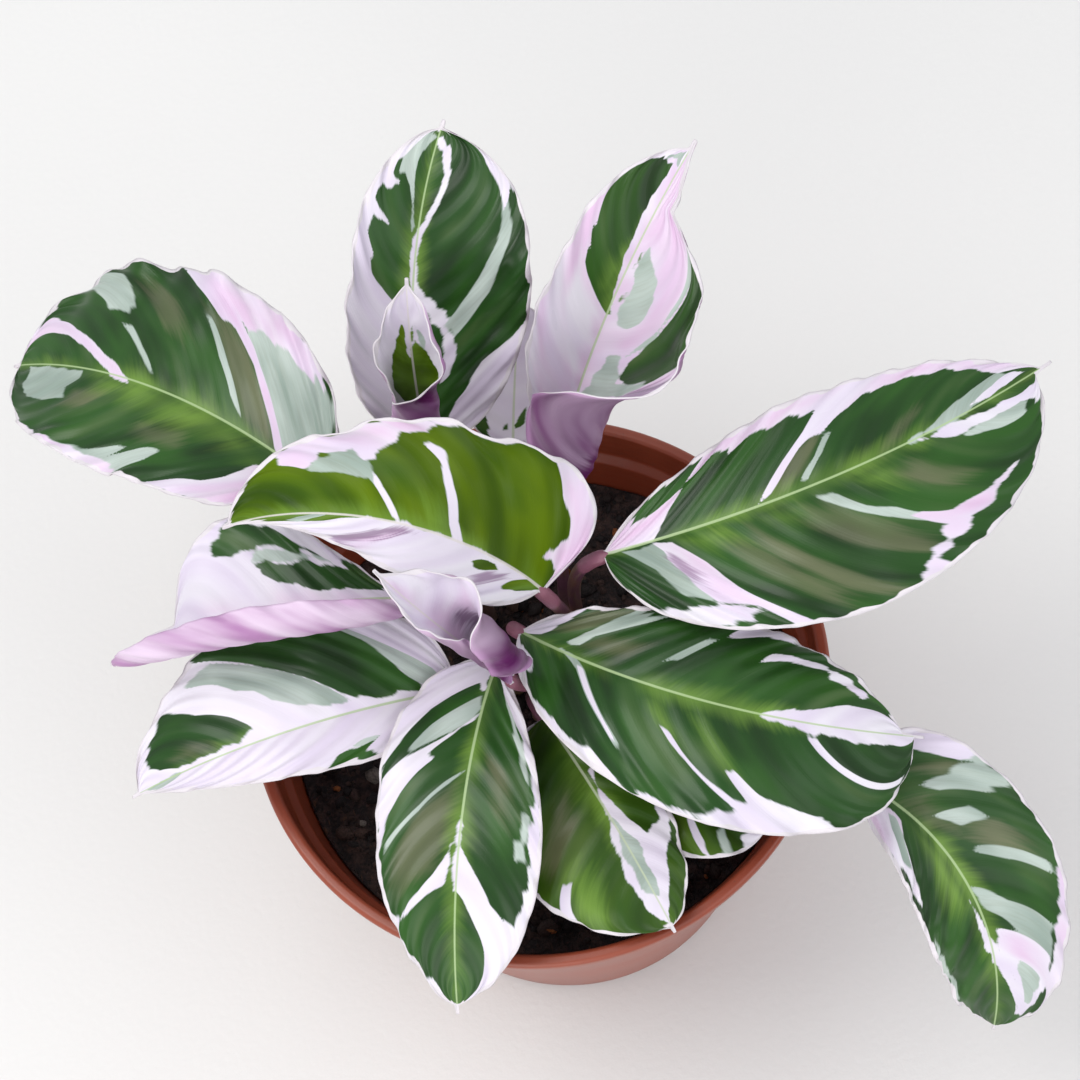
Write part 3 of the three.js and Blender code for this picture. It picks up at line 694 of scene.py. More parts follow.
FRONT_RIGHT = Leaf(
    name="front_right", base=(-0.001, 0.002, 0.1175), root=(0.002, 0.01), length=0.089,
    heading=-52, swing=50, rise=32, droop=70,
    left=Half(0.0185, 0.74, 0.6, (10, 5, 0), (-10, -15, -20), (0.0008, 2.5, 0.1), end=0.94),
    right=Half(0.0228, 0.74, 0.5, (10, 5, 0), (-10, -20, -25), (0.0014, 3.5, 0.3)),
    markings=Markings(GREEN, (
        PAINTED_SHEEN((130, -45), (240, -44), (250, -24), (140, -20)),
        PAINTED_SHEEN((-80, -92), (20, -95), (60, -60), (50, -40), (0, -46)),
        WHITE((-400, -100), (-110, -100), (-90, -86), (-50, -70), (-10, -48), (20, -24), (0, -8),
            (-100, -20), (-300, -80)),
        GREY((10, -100), (60, -88), (100, -84), (130, -86), (120, -62), (115, -42), (132, -22), (100, -18),
            (85, -38), (60, -62), (30, -82)),
        WHITE((300, -100), (520, -100), (440, -94), (380, -86), (360, -76), (330, -72)),
        GREY((310, -68), (335, -68), (345, -34), (320, -30)),
        WHITE((460, -70), (500, -78), (560, -84), (620, -82), (700, -74), (720, -60), (660, -68),
            (610, -70), (590, -76), (530, -73), (500, -64), (475, -57)),
        WHITE((600, 2), (640, -8), (680, -16), (720, -25), (770, -46), (800, -70), (1000, -80), (1000, 20),
            (930, 26), (880, 17), (800, 12), (700, 8)),
        GREY((120, -4), (150, -5), (180, 2), (195, 14), (200, 36), (212, 66), (192, 70), (180, 40),
            (172, 14)),
        WHITE((176, 10), (190, 12), (196, 36), (206, 64), (193, 66), (184, 40)),
        WHITE((355, 34), (372, 38), (390, 66), (410, 78), (440, 76), (450, 56), (472, 54), (480, 68),
            (510, 78), (560, 84), (520, 100), (400, 88), (380, 70)),
        LIME((350, 22), (365, 20), (380, 34), (365, 36)),
        LIME((445, 20), (470, 18), (480, 36), (470, 50), (450, 46)),
        WHITE((692, 14), (710, 15), (720, 40), (747, 78), (722, 84), (710, 50)),
        WHITE((-180, 100), (-80, 92), (0, 87), (30, 93), (100, 88), (130, 94), (200, 95), (300, 92),
            (380, 86), (420, 79), (500, 82), (560, 88), (520, 100)),
        WHITE((-360, 100), (-60, 54), (0, 46), (-20, 58), (-100, 84), (-160, 100)),
        GREY((930, 30), (960, 10), (1000, 50), (850, 100), (800, 90)),
    )),
)

SMALL_LOW = Leaf(
    name="small_low", base=(0.011, -0.026, 0.098), root=(0.008, -0.005), length=0.034,
    heading=-38, swing=24, rise=26, droop=50, youth_and_backlight=0.5,
    left=Half(0.008, 0.5, 0.5, (10, 5, 0), (-10, -20, -20), (0.0005, 2.5, 0.1)),
    right=Half(0.011, 0.5, 0.5, (10, 5, 0), (-10, -20, -20), (0.0005, 2.5, 0.1)),
    markings=Markings(GREEN, (
        WHITE((50, 90), (200, 50), (240, 30), (260, 60), (180, 100)),
        WHITE((430, 60), (460, 24), (480, 24), (465, 60), (420, 96), (400, 90)),
        GREY((500, 95), (580, 50), (640, 30), (660, 34), (600, 66), (540, 98)),
        WHITE((600, 100), (680, 60), (800, 36), (1000, 20), (1000, 100)),
        WHITE((200, -100), (300, -40), (340, -50), (300, -100)),
        WHITE((600, -100), (750, -40), (1000, -20), (1000, -100)),
    )),
)

RIGHT_DROOPING = Leaf(
    name="right_drooping", base=(0.057, -0.037, 0.102), root=(0.014, 0.001), length=0.073,
    heading=-39, swing=-70, rise=2, droop=82,
    left=Half(0.0195, 0.28, 0.5, (10, 5, 0), (-10, -15, -20), (0.0008, 2.5, 0.1)),
    right=Half(0.012, 0.6, 0.6, (15, 10, 0), (-10, -20, -25), (0.0016, 3.5, 0.3)),
    markings=Markings(GREEN, (
        PAINTED_SHEEN((-20, -94), (50, -95), (80, -60), (30, -50)),
        PAINTED_SHEEN((200, -66), (300, -70), (290, -36), (220, -30)),
        PAINTED_SHEEN((130, -28), (260, -24), (240, -4), (140, -6)),
        WHITE((-400, -100), (-20, -100), (0, -80), (-100, -60), (-300, -90)),
        GREY((-50, -100), (50, -100), (110, -72), (120, -40), (90, -30), (60, -60)),
        GREY((170, -50), (200, -60), (240, -30), (200, -16)),
        GREY((270, -86), (300, -86), (330, -50), (325, -24), (305, -30), (290, -56)),
        PINK((280, -92), (400, -86), (500, -80), (620, -78), (700, -100), (250, -100)),
        GREY((460, -75), (560, -76), (560, -40), (500, -5), (430, -2), (465, -30)),
        WHITE((550, -74), (630, -77), (760, -70), (820, -45), (760, -36), (660, -6), (560, -12),
            (555, -40)),
        PINK((560, -72), (620, -75), (630, -30), (590, -14), (560, -30)),
        GREY((640, -62), (740, -60), (760, -50), (680, -30), (640, -30)),
        WHITE((450, 10), (600, 0), (740, -32), (820, -46), (790, -30), (700, -2), (600, 12)),
        LIME((140, 16), (300, 14), (460, 16), (440, 34), (340, 42), (220, 30)),
        PINK((-300, 100), (-20, 56), (90, 18), (125, 26), (110, 50), (120, 74), (200, 84), (100, 92),
            (0, 90), (-100, 100)),
        GREY((70, 36), (100, 34), (100, 60), (110, 74), (60, 78), (50, 56)),
        GREY((300, 90), (420, 84), (600, 86), (550, 100), (350, 100)),
        WHITE((400, 100), (500, 94), (620, 92), (600, 100)),
    )),
)

UNROLLING = Leaf(
    name="unrolling", base=(-0.012, 0.042, 0.12), root=(-0.008, 0.023), length=0.052,
    heading=83, swing=-20, rise=80, droop=10, blush=1.0, youth_and_backlight=1.0,
    left=Half(0.0098, 0.8, 0.9, (10, 0, 10), (60, 215, 150, 60, 20), (0.0, 2, 0)),
    right=Half(0.0185, 0.8, 1, (10, 0, 10), (90, 260, 225, 80, 20), (0.0, 2, 0)),
    markings=Markings(WHITE, (
        GREEN((340, -30), (400, -50), (450, -56), (550, -43), (650, -34), (750, -20), (720, -14),
            (620, -10), (600, -4), (660, 0), (700, 6), (660, 20), (580, 30), (540, 50), (500, 70),
            (400, 100), (360, 100), (420, 60), (400, 30)),
        LIME((370, -26), (420, -46), (550, -36), (640, -26), (560, -4), (580, 20), (500, 40), (440, 20)),
        GREEN((660, -2), (760, 2), (770, 8), (700, 5)),
        GREY((640, 20), (680, 12), (770, 12), (720, 22), (680, 30)),
        PURPLE_AND_SHADE((-200, 30), (360, 50), (400, 90), (300, 100), (-200, 100)),
    )),
)

SMALL_REAR = Leaf(
    name="small_rear", base=(0.005, 0.052, 0.098), root=(0.004, 0.027), length=0.033,
    heading=70, swing=0, rise=58, droop=24, blush=0.5, youth_and_backlight=0.3,
    left=Half(0.011, 0.5, 0.6, (20, 15, 10), (0, 0, 0), (0.0, 2, 0)),
    right=Half(0.012, 0.5, 0.6, (20, 15, 10), (0, 0, 0), (0.0, 2, 0)),
    markings=Markings(WHITE, (
        GREEN((125, 4), (150, 2), (190, 10), (270, 25), (140, 27), (125, 20)),
        GREEN((60, -32), (100, -28), (150, -14), (100, -14)),
        GREEN((-300, -100), (100, -100), (200, -70), (100, -60), (0, -66)),
    )),
)

LEAVES = (
    LEFT_REAR, REAR, REAR_RIGHT, RIGHT, FRONT_CURL, ROLLED, LEFT_ROLLED_EDGE, LEFT, FRONT, FRONT_LOW,
    FRONT_RIGHT, SMALL_LOW, RIGHT_DROOPING, UNROLLING, SMALL_REAR,
)


# ---- Meshes ----


def grid_quads(rows: int, columns: int, closed: bool = False) -> Array:
    """Faces of a grid of points that are numbered row by row.

    Args:
        rows: Rows of points.
        columns: Points in a row.
        closed: Whether the end of each row joins its start.

    Returns:
        Four point numbers for each face.
    """
    row = np.arange(rows - 1)[:, None] * columns
    here = np.arange(columns if closed else columns - 1)[None]
    there = (here + 1) % columns
    corners = [row + here, row + there, row + columns + there, row + columns + here]
    return np.stack(corners, axis=-1).reshape(-1, 4)


def fan(hub: int, ring: Array) -> Array:
    """Triangles from a hub point to each edge of a closed ring of points."""
    return np.stack([np.full_like(ring, hub), ring, np.roll(ring, -1)], axis=-1)


def tube(rings: int, sides: int, inward: bool = False) -> tuple[Array, Array]:
    """Faces of a tube of closed rings of points, with two hub points after them that close it.

    Args:
        rings: Rings of points.
        sides: Points in a ring.
        inward: Whether the rings run the other way round, as seen from outside.

    Returns:
        The quads of its wall, and the triangles of its first and last end.
    """
    quads = grid_quads(rings, sides, closed=True)
    count = rings * sides
    first = np.arange(sides)
    last = first + count - sides
    if inward:
        return quads[:, ::-1], np.concatenate([fan(count, first), fan(count + 1, last[::-1])])
    return quads, np.concatenate([fan(count, first[::-1]), fan(count + 1, last)])


def circle(sides: int) -> Array:
    """Angles of the corners of a regular polygon."""
    return np.linspace(0.0, 2.0 * np.pi, sides, endpoint=False)


def normals_of(grid: Array) -> Array:
    """Unit normals of a grid of points: the cross product of its slopes across and along.

    Args:
        grid: Rows of points.

    Returns:
        A grid of vectors.
    """
    along_rows, across_rows = np.gradient(grid, axis=0), np.gradient(grid, axis=1)
    crossed = np.cross(across_rows, along_rows)
    return crossed / np.maximum(np.linalg.norm(crossed, axis=-1, keepdims=True), TINY)


def placed(name: str, data: ID) -> Object:
    """A new object in the scene that shows a mesh, a light or a camera.

    Args:
        name: Name of the object.
        data: What it shows.

    Returns:
        The object, at the origin.
    """
    made = bpy.data.objects.new(name, data)
    bpy.context.scene.collection.objects.link(made)
    return made


@dataclass
class Draft:
    """A mesh on its way into the scene.

    faces holds arrays of quads and of triangles, fields the values kept at each point, layout the
    place in the bake of each face corner, and face_finish which finish each face has.
    """

    name: str
    points: Array
    faces: tuple[Array, ...]
    fields: dict[str, Array] = field(default_factory=dict)
    layout: Array | None = None
    face_finish: Array | None = None

    def mesh(self) -> Mesh:
        """The mesh, smooth all over, with its fields and its layout.

        Returns:
            The new mesh.
        """
        made = bpy.data.meshes.new(self.name)
        corners = np.concatenate([faces.ravel() for faces in self.faces])
        sizes = np.concatenate([np.full(len(faces), faces.shape[1]) for faces in self.faces])
        made.vertices.add(len(self.points))
        made.vertices.foreach_set("co", self.points.astype(np.float32).ravel())
        made.loops.add(len(corners))
        made.loops.foreach_set("vertex_index", corners.astype(np.int32))
        made.polygons.add(len(sizes))
        made.polygons.foreach_set("loop_start", (np.cumsum(sizes) - sizes).astype(np.int32))
        made.polygons.foreach_set("use_smooth", np.ones(len(sizes), dtype=bool))
        if self.face_finish is not None:
            made.polygons.foreach_set("material_index", self.face_finish.astype(np.int32))
        made.update(calc_edges=True)
        for name, values in self.fields.items():
            kind, key = ("FLOAT", "value") if values.ndim == 1 else ("FLOAT_VECTOR", "vector")
            kept = made.attributes.new(name, kind, "POINT")
            kept.data.foreach_set(key, values.astype(np.float32).ravel())
        if self.layout is not None:
            uv = made.uv_layers.new(name="OFBake")
            uv.data.foreach_set("uv", self.layout.astype(np.float32).ravel())
        return made

    def piece(self, slot: str, finishes: tuple[Material, ...], *nodes: str) -> Object:
        """Put the mesh into the scene as a piece that rides on the root.

        Args:
            slot: Material slot that its finish stands for; not used.
            finishes: Its materials.
            nodes: Nodes of the frame that it replaces.

        Returns:
            The new object.
        """
        mesh = self.mesh()
        for finish in finishes:
            mesh.materials.append(finish)
        made = placed(self.name, mesh)
        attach(made, ROOT)
        if nodes:
            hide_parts(*nodes)
        LOG.info("%s: %d points, %d faces", self.name, len(self.points), len(mesh.polygons))
        return made


# ---- Finishes ----


def tint(red: int, green: int, blue: int) -> Triple:
    """A colour given in 0..255, as the light it gives off: ((c + 0.055) / 1.055)^2.4.

    Args:
        red: Share of red.
        green: Share of green.
        blue: Share of blue.

    Returns:
        Three shares of light in 0..1.
    """
    shares = np.array([red, green, blue]) / 255.0
    light = np.where(shares <= 0.04045, shares / 12.92, ((shares + 0.055) / 1.055) ** 2.4)
    return float(light[0]), float(light[1]), float(light[2])


@dataclass(frozen=True)
class Grain:
    """A cloudy noise: its cells to the metre, alike all round or by axis, its octaves and its start."""

    scale: float | Triple
    octaves: float = 2.0
    start: Triple = (0.0, 0.0, 0.0)


@dataclass(frozen=True)
class Fade:
    """How a layer comes in: from nothing at low to its full share at high."""

    low: float
    high: float
    share: float = 1.0


@dataclass(frozen=True)
class Fray:
    """The edge of a patch: how far teeth and hairs move it and half its softness, in metres."""

    teeth: float
    hairs: float
    soft: float


class Graph:
    """The node graph of one finish, built a node at a time."""

    def __init__(self, name: str) -> None:
        """Start a material with an empty graph.

        Args:
            name: Name of the material.
        """
        self.material = bpy.data.materials.new(name)
        self.material.use_nodes = True
        self.tree = self.material.node_tree
        self.tree.nodes.clear()

    def node(self, kind: str, **inputs: object) -> Node:
        """Add a node and fill its inputs.

        Args:
            kind: Type of the node, without its ShaderNode prefix.
            inputs: Value or socket for each input, with _ for a space in its name.

        Returns:
            The node.
        """
        made = self.tree.nodes.new(f"ShaderNode{kind}")
        for name, value in inputs.items():
            self.fill(made.inputs[name.replace("_", " ")], value)
        return made

    def fill(self, socket: NodeSocket, value: object) -> None:
        """Link a socket to an input, or set the input to a number, vector or colour.

        Args:
            socket: Input to fill.
            value: What goes into it.
        """
        if isinstance(value, NodeSocket):
            self.tree.links.new(value, socket)
        elif isinstance(value, tuple) and socket.type == "RGBA":
            socket.default_value = (*value, 1.0)
        else:
            socket.default_value = value

    def level(self, name: str, output: str = "Fac") -> NodeSocket:
        """A field kept at the mesh's points.

        Args:
            name: Name of the field.
            output: Fac for numbers or Vector for vectors.

        Returns:
            Its socket.
        """
        made = self.node("Attribute")
        made.attribute_name = name
        return made.outputs[output]

    def place(self) -> NodeSocket:
        """Where a point lies on the piece, in metres."""
        return self.node("TexCoord").outputs["Object"]

    def math(self, work: str, *values: object, clamp: bool = False) -> NodeSocket:
        """The result of one arithmetic step on sockets or numbers.

        Args:
            work: Name of the step.
            values: What it works on.
            clamp: Whether the result is held to 0..1.

        Returns:
            The result.
        """
        made = self.node("Math")
        made.operation = work
        made.use_clamp = clamp
        for socket, value in zip(made.inputs, values):
            self.fill(socket, value)
        return made.outputs[0]

    def times(self, value: object, other: object, clamp: bool = False) -> NodeSocket:
        """The product of two values."""
        return self.math("MULTIPLY", value, other, clamp=clamp)

    def line(self, value: object, slope: object, start: object) -> NodeSocket:
        """A value times a slope, plus a start."""
        return self.math("MULTIPLY_ADD", value, slope, start)

    def noise(self, vector: NodeSocket, grain: Grain) -> NodeSocket:
        """Cloudy noise, about 0..1 round a half.

        Args:
            vector: Where it is read.
            grain: Its scale, octaves and start.

        Returns:
            The noise.
        """
        scale = grain.scale
        if isinstance(scale, tuple):
            stretched = self.node("VectorMath")
            stretched.operation = "MULTIPLY_ADD"
            for socket, value in zip(stretched.inputs, (vector, scale, grain.start)):
                self.fill(socket, value)
            vector, scale = stretched.outputs[0], 1.0
        return self.node("TexNoise", Vector=vector, Scale=scale, Detail=grain.octaves).outputs["Fac"]

    def fade(self, value: NodeSocket, fade: Fade) -> NodeSocket:
        """The share that a layer has come in by at a value, smoothly.

        Args:
            value: What is set against low and high.
            fade: The layer's fade.

        Returns:
            The share.
        """
        made = self.node("MapRange", Value=value)
        made.interpolation_type = "SMOOTHSTEP"
        made.inputs["From Min"].default_value = fade.low
        made.inputs["From Max"].default_value = fade.high
        gone = made.outputs["Result"]
        return gone if fade.share == 1.0 else self.times(gone, fade.share)

    def blend(self, share: object, under: object, over: object) -> NodeSocket:
        """Colour over laid on colour under by a share.

        Args:
            share: 0 for under to 1 for over.
            under: A colour or its socket.
            over: A colour or its socket.

        Returns:
            The colour between.
        """
        made = self.node("Mix")
        made.data_type = "RGBA"
        self.fill(made.inputs["Factor"], share)
        self.fill(made.inputs[6], under)
        self.fill(made.inputs[7], over)
        return made.outputs[2]

    def surface(self, height: NodeSocket, depth: float, **inputs: object) -> Material:
        """Lead a principled surface, raised by height times depth, to the output.

        Args:
            height: Relief of the surface.
            depth: What its height is multiplied by, in metres.
            inputs: The other inputs of the shader.

        Returns:
            The finished material.
        """
        normal = self.node("Bump", Height=height, Distance=depth, Strength=1.0).outputs["Normal"]
        shader = self.node("BsdfPrincipled", Normal=normal, **inputs)
        output = self.node("OutputMaterial")
        self.tree.links.new(shader.outputs["BSDF"], output.inputs["Surface"])
        return self.material


@dataclass(frozen=True)
class BladeTop:
    """Upper side of a blade: greens, yellowed on new leaves and by painted backlight, with streaks of
    painted sheen, under fields of lime, painted sheen, grey green, white, pink and purple that is
    in places painted shade.
    """

    name: str = "blade_top"
    deep: Triple = tint(17, 40, 12)
    green: Triple = tint(30, 67, 20)
    bright: Triple = tint(44, 88, 26)
    # painted sheen: tan streaks that stand for a reflection on the glossy blade
    sheen: Triple = tint(116, 118, 92)
    # yellow olive greens: partly a new leaf's colour, partly painted light shining through the blade
    young_and_backlit: Triple = tint(84, 108, 2)
    young_and_backlit_deep: Triple = tint(54, 78, 0)
    lime: Triple = tint(112, 146, 58)
    # grey brown of the patches of painted sheen
    painted_sheen: Triple = tint(120, 116, 92)
    grey: Triple = tint(136, 152, 142)
    pale_grey: Triple = tint(176, 188, 180)
    white: Triple = tint(216, 212, 219)
    lilac: Triple = tint(206, 196, 213)
    pink: Triple = tint(206, 172, 202)
    # purple, partly painted shade where a blade rolls over
    purple_and_shade: Triple = tint(112, 72, 112)
    rim: Triple = tint(208, 202, 206)
    midrib: Triple = tint(164, 186, 136)
    young_midrib: Triple = tint(206, 200, 196)

    teeth: Grain = Grain((260.0, 80.0, 1.0), 1.0)
    hairs: Grain = Grain((1500.0, 170.0, 1.0), 2.0, (3.0, 7.0, 5.0))
    bands: Grain = Grain((125.0, 30.0, 1.0), 1.5, (2.0, 1.0, 4.0))
    clouds: Grain = Grain((70.0, 60.0, 1.0), 2.0, (1.0, 4.0, 9.0))
    lines: Grain = Grain((2300.0, 60.0, 1.0), 1.0, (5.0, 2.0, 6.0))
    drift: Grain = Grain((60.0, 20.0, 1.0), 1.0, (8.0, 8.0, 8.0))

    painted_sheen_edge: Fray = Fray(0.003, 0.002, 0.0012)
    lime_edge: Fray = Fray(0.003, 0.002, 0.0022)
    pale_edge: Fray = Fray(0.0016, 0.0004, 0.0002)
    pink_edge: Fray = Fray(0.004, 0.001, 0.002)
    white_edge: Fray = Fray(0.0015, 0.0004, 0.00016)
    purple_and_shade_edge: Fray = Fray(0.002, 0.003, 0.0008)

    green_bands: Fade = Fade(0.25, 0.65)
    bright_clouds: Fade = Fade(0.4, 0.7, 0.7)
    # where the streaks of painted sheen lie, kept off the margin
    sheen_bands: Fade = Fade(0.5, 0.68)
    sheen_clouds: Fade = Fade(0.42, 0.6)
    sheen_margin: Fade = Fade(0.0005, 0.005)
    sheen_share: float = 0.18
    bright_lines: Fade = Fade(0.6, 0.8, 0.08)
    # where the yellowing of new leaves and of painted backlight lies
    young_and_backlit_bands: Fade = Fade(0.35, 0.65)
    young_and_backlit_clouds: Fade = Fade(0.1, 0.6)
    # how strongly the painted sheen patches follow the bands
    painted_sheen_bands: Line = (0.7, 0.05)
    lime_drift: Fade = Fade(0.3, 0.62)
    lime_share: float = 0.8
    grey_clouds: Fade = Fade(0.3, 0.65)
    # how much painted sheen streaks the grey green
    grey_hairs: Fade = Fade(0.4, 0.7, 0.15)
    lilac_bands: Fade = Fade(0.3, 0.7)
    pink_clouds: Fade = Fade(0.25, 0.75)
    # how strongly the purple and painted shade cover the colour below
    purple_and_shade_share: float = 0.7
    vein_width: Fade = Fade(-0.00012, 0.0001, 0.8)
    rim_teeth: float = 0.002
    rim_width: Fade = Fade(-0.0001, 0.0001)

    line_height: float = 0.5
    hair_height: float = 0.3
    relief: float = 0.00005
    roughness: Line = (0.2, 0.22)
    mirror: Line = (-0.16, 0.28)

    def make(self) -> Material:
        """Thresholds of the patch fields, toothed along the ribs, over broad bands of green and streaks of
        painted sheen.

        Returns:
            The material.
        """
        g = Graph(self.name)
        rib = g.level("rib", "Vector")
        teeth, hairs = g.noise(rib, self.teeth), g.noise(rib, self.hairs)
        bands, clouds, lines = (g.noise(rib, grain) for grain in (self.bands, self.clouds, self.lines))
        tooth = g.math("SUBTRACT", teeth, 0.5)
        hair = g.math("SUBTRACT", hairs, 0.5)

        def inside(name: str, edge: Fray) -> NodeSocket:
            """Where a field, moved by the teeth and the hairs, is above zero."""
            moved = g.line(hair, edge.hairs, g.line(tooth, edge.teeth, g.level(name)))
            return g.fade(moved, Fade(-edge.soft, edge.soft))

        green = g.blend(g.fade(bands, self.green_bands), self.deep, self.green)
        green = g.blend(g.fade(clouds, self.bright_clouds), green, self.bright)
        # streaks of painted sheen, a painted reflection laid over the green
        sheen = g.times(g.fade(bands, self.sheen_bands), g.fade(clouds, self.sheen_clouds))
        sheen = g.times(sheen, g.fade(g.level("margin"), self.sheen_margin))
        green = g.blend(g.times(sheen, self.sheen_share), green, self.sheen)
        green = g.blend(g.fade(lines, self.bright_lines), green, self.bright)
        # yellowing: partly a new leaf's colour, partly painted backlight
        young_and_backlit = g.blend(g.fade(bands, self.young_and_backlit_bands), self.young_and_backlit_deep, self.young_and_backlit)
        green = g.blend(g.times(g.level("youth_and_backlight"), g.fade(clouds, self.young_and_backlit_clouds)), green, young_and_backlit)
        # patches of painted sheen, a painted reflection laid over the green
        painted_sheen = g.times(inside("painted_sheen", self.painted_sheen_edge), g.line(bands, *self.painted_sheen_bands))
        green = g.blend(painted_sheen, green, self.painted_sheen)
        drift = g.fade(g.noise(rib, self.drift), self.lime_drift)
        lime = g.times(inside("lime", self.lime_edge), g.times(drift, self.lime_share))
        green = g.blend(lime, green, self.lime)

        grey = g.blend(g.fade(clouds, self.grey_clouds), self.grey, self.pale_grey)
        # grey green streaked with painted sheen
        grey = g.blend(g.fade(hairs, self.grey_hairs), grey, self.sheen)
        colour = g.blend(inside("pale", self.pale_edge), green, grey)
        white = g.blend(g.fade(bands, self.lilac_bands), self.white, self.lilac)
        pink = g.times(inside("pink", self.pink_edge), g.fade(clouds, self.pink_clouds))
        white = g.blend(pink, white, self.pink)
        colour = g.blend(inside("white", self.white_edge), colour, white)
        # purple patches, some of them painted shade
        colour = g.blend(g.times(inside("purple_and_shade", self.purple_and_shade_edge), self.purple_and_shade_share), colour, self.purple_and_shade)
        midrib = g.blend(g.level("youth_and_backlight"), self.midrib, self.young_midrib)
        colour = g.blend(g.fade(g.level("vein"), self.vein_width), colour, midrib)
        rim = g.line(tooth, self.rim_teeth, g.level("rim"))
        colour = g.blend(g.fade(rim, self.rim_width), colour, self.rim)

        height = g.math("ADD", g.times(lines, self.line_height), g.times(hairs, self.hair_height))
        gloss = g.line(clouds, *self.roughness)
        mirror = g.line(g.level("youth_and_backlight"), *self.mirror)
        return g.surface(height, self.relief, Base_Color=colour, Roughness=gloss, Specular_IOR_Level=mirror)


@dataclass(frozen=True)
class BladeUnder:
    """Underside of a blade: lilac where the top is pale, and purple where it is green."""

    name: str = "blade_under"
    purple: Triple = tint(92, 36, 82)
    deep: Triple = tint(56, 24, 48)
    pale: Triple = tint(212, 192, 212)
    blush: Triple = tint(164, 118, 162)
    wine: Triple = tint(90, 22, 86)
    midrib: Triple = tint(150, 92, 130)

    streaks: Grain = Grain((900.0, 90.0, 1.0))
    clouds: Grain = Grain((120.0, 60.0, 1.0))
    lines: Grain = Grain((2300.0, 60.0, 1.0), 1.0)

    purple_clouds: Fade = Fade(0.3, 0.7)
    blush_clouds: Fade = Fade(0.4, 0.7)
    pale_teeth: float = 0.002
    pale_edge: Fade = Fade(-0.0006, 0.0006)
    wine_margin: Fade = Fade(0.0, 0.0018)
    flush: Line = (0.8, 0.5)
    blush_lines: Fade = Fade(0.55, 0.8, 0.1)
    vein_width: Fade = Fade(-0.0006, 0.0, 0.7)
    line_height: float = 0.6
    streak_height: float = 0.4
    relief: float = 0.00008
    roughness: float = 0.4
    mirror: float = 0.35

    def make(self) -> Material:
        """The fields of the top, softened, as tones of purple with lighter ribs.

        Returns:
            The material.
        """
        g = Graph(self.name)
        rib = g.level("rib", "Vector")
        streaks, clouds, lines = (g.noise(rib, grain) for grain in (self.streaks, self.clouds, self.lines))
        dark = g.blend(g.fade(clouds, self.purple_clouds), self.deep, self.purple)
        light = g.blend(g.fade(clouds, self.blush_clouds), self.pale, self.blush)
        frayed = g.line(g.math("SUBTRACT", streaks, 0.5), self.pale_teeth, g.level("pale"))
        colour = g.blend(g.fade(frayed, self.pale_edge), dark, light)
        flush = g.times(g.level("blush"), g.line(clouds, *self.flush), clamp=True)
        depth = g.blend(g.fade(g.level("margin"), self.wine_margin), self.blush, self.wine)
        colour = g.blend(flush, colour, depth)
        colour = g.blend(g.fade(lines, self.blush_lines), colour, self.blush)
        colour = g.blend(g.fade(g.level("vein"), self.vein_width), colour, self.midrib)
        height = g.math("ADD", g.times(lines, self.line_height), g.times(streaks, self.streak_height))
        gloss, mirror = self.roughness, self.mirror
        return g.surface(height, self.relief, Base_Color=colour, Roughness=gloss, Specular_IOR_Level=mirror)


@dataclass(frozen=True)
class StalkSkin:
    """Purple brown stalks, hairy and a little ribbed, pinker at the knee and pale at the sheath."""

    name: str = "stalk_skin"
    brown: Triple = tint(92, 62, 54)
    plum: Triple = tint(84, 50, 66)
    knee: Triple = tint(138, 84, 104)
    olive: Triple = tint(112, 104, 70)

    streaks: Grain = Grain((1800.0, 60.0, 1.0), 3.0)
    blotches: Grain = Grain((300.0, 110.0, 1.0))
    down: Grain = Grain((5200.0, 1400.0, 1.0))

    plum_blotches: Fade = Fade(0.35, 0.65)
    olive_streaks: Fade = Fade(0.5, 0.75, 0.5)
    knee_share: float = 0.8
    sheath: Fade = Fade(0.012, 0.026)
    sheath_share: float = 0.45
    streak_height: float = 0.8
    down_height: float = 0.5
    relief: float = 0.0002
    roughness: float = 0.46

    def make(self) -> Material:
        """Tones along the run, with long streaks and short down.

        Returns:
            The material.
        """
        g = Graph(self.name)
        run = g.level("run", "Vector")
        _, above, knee = g.node("SeparateXYZ", Vector=run).outputs
        streaks, blotches = g.noise(run, self.streaks), g.noise(run, self.blotches)
        down = g.noise(run, self.down)
        colour = g.blend(g.fade(blotches, self.plum_blotches), self.brown, self.plum)
        colour = g.blend(g.fade(streaks, self.olive_streaks), colour, self.olive)
        colour = g.blend(g.times(knee, self.knee_share), colour, self.knee)
        low = g.math("SUBTRACT", 1.0, g.fade(above, self.sheath))
        colour = g.blend(g.times(low, self.sheath_share), colour, self.olive)
        height = g.math("ADD", g.times(streaks, self.streak_height), g.times(down, self.down_height))
        return g.surface(height, self.relief, Base_Color=colour, Roughness=self.roughness)


@dataclass(frozen=True)
class SoilGrain:
    """Damp peaty potting mix: near black, with brown fibres and lighter grains."""

    name: str = "soil_grain"
    black: Triple = tint(20, 12, 11)
    brown: Triple = tint(58, 40, 34)
    fibre: Triple = tint(96, 62, 38)

    coarse: Grain = Grain(420.0, 4.0)
    grains: Grain = Grain(1500.0, 4.0)
    fibres: Grain = Grain((900.0, 220.0, 500.0), 3.0)

    grain_share: float = 0.6
    brown_grains: Fade = Fade(0.66, 0.98)
    fibre_peaks: Fade = Fade(0.64, 0.72, 0.6)
    relief: float = 0.0011
    roughness: float = 0.82

    def make(self) -> Material:
        """Grains of two sizes, with a few brown fibres.

        Returns:
            The material.
        """
        g = Graph(self.name)
        place = g.place()
        coarse, grains = g.noise(place, self.coarse), g.noise(place, self.grains)
        fibres = g.noise(place, self.fibres)
        mixed = g.math("ADD", coarse, g.times(grains, self.grain_share))
        colour = g.blend(g.fade(mixed, self.brown_grains), self.black, self.brown)
        colour = g.blend(g.fade(fibres, self.fibre_peaks), colour, self.fibre)
        return g.surface(mixed, self.relief, Base_Color=colour, Roughness=self.roughness)


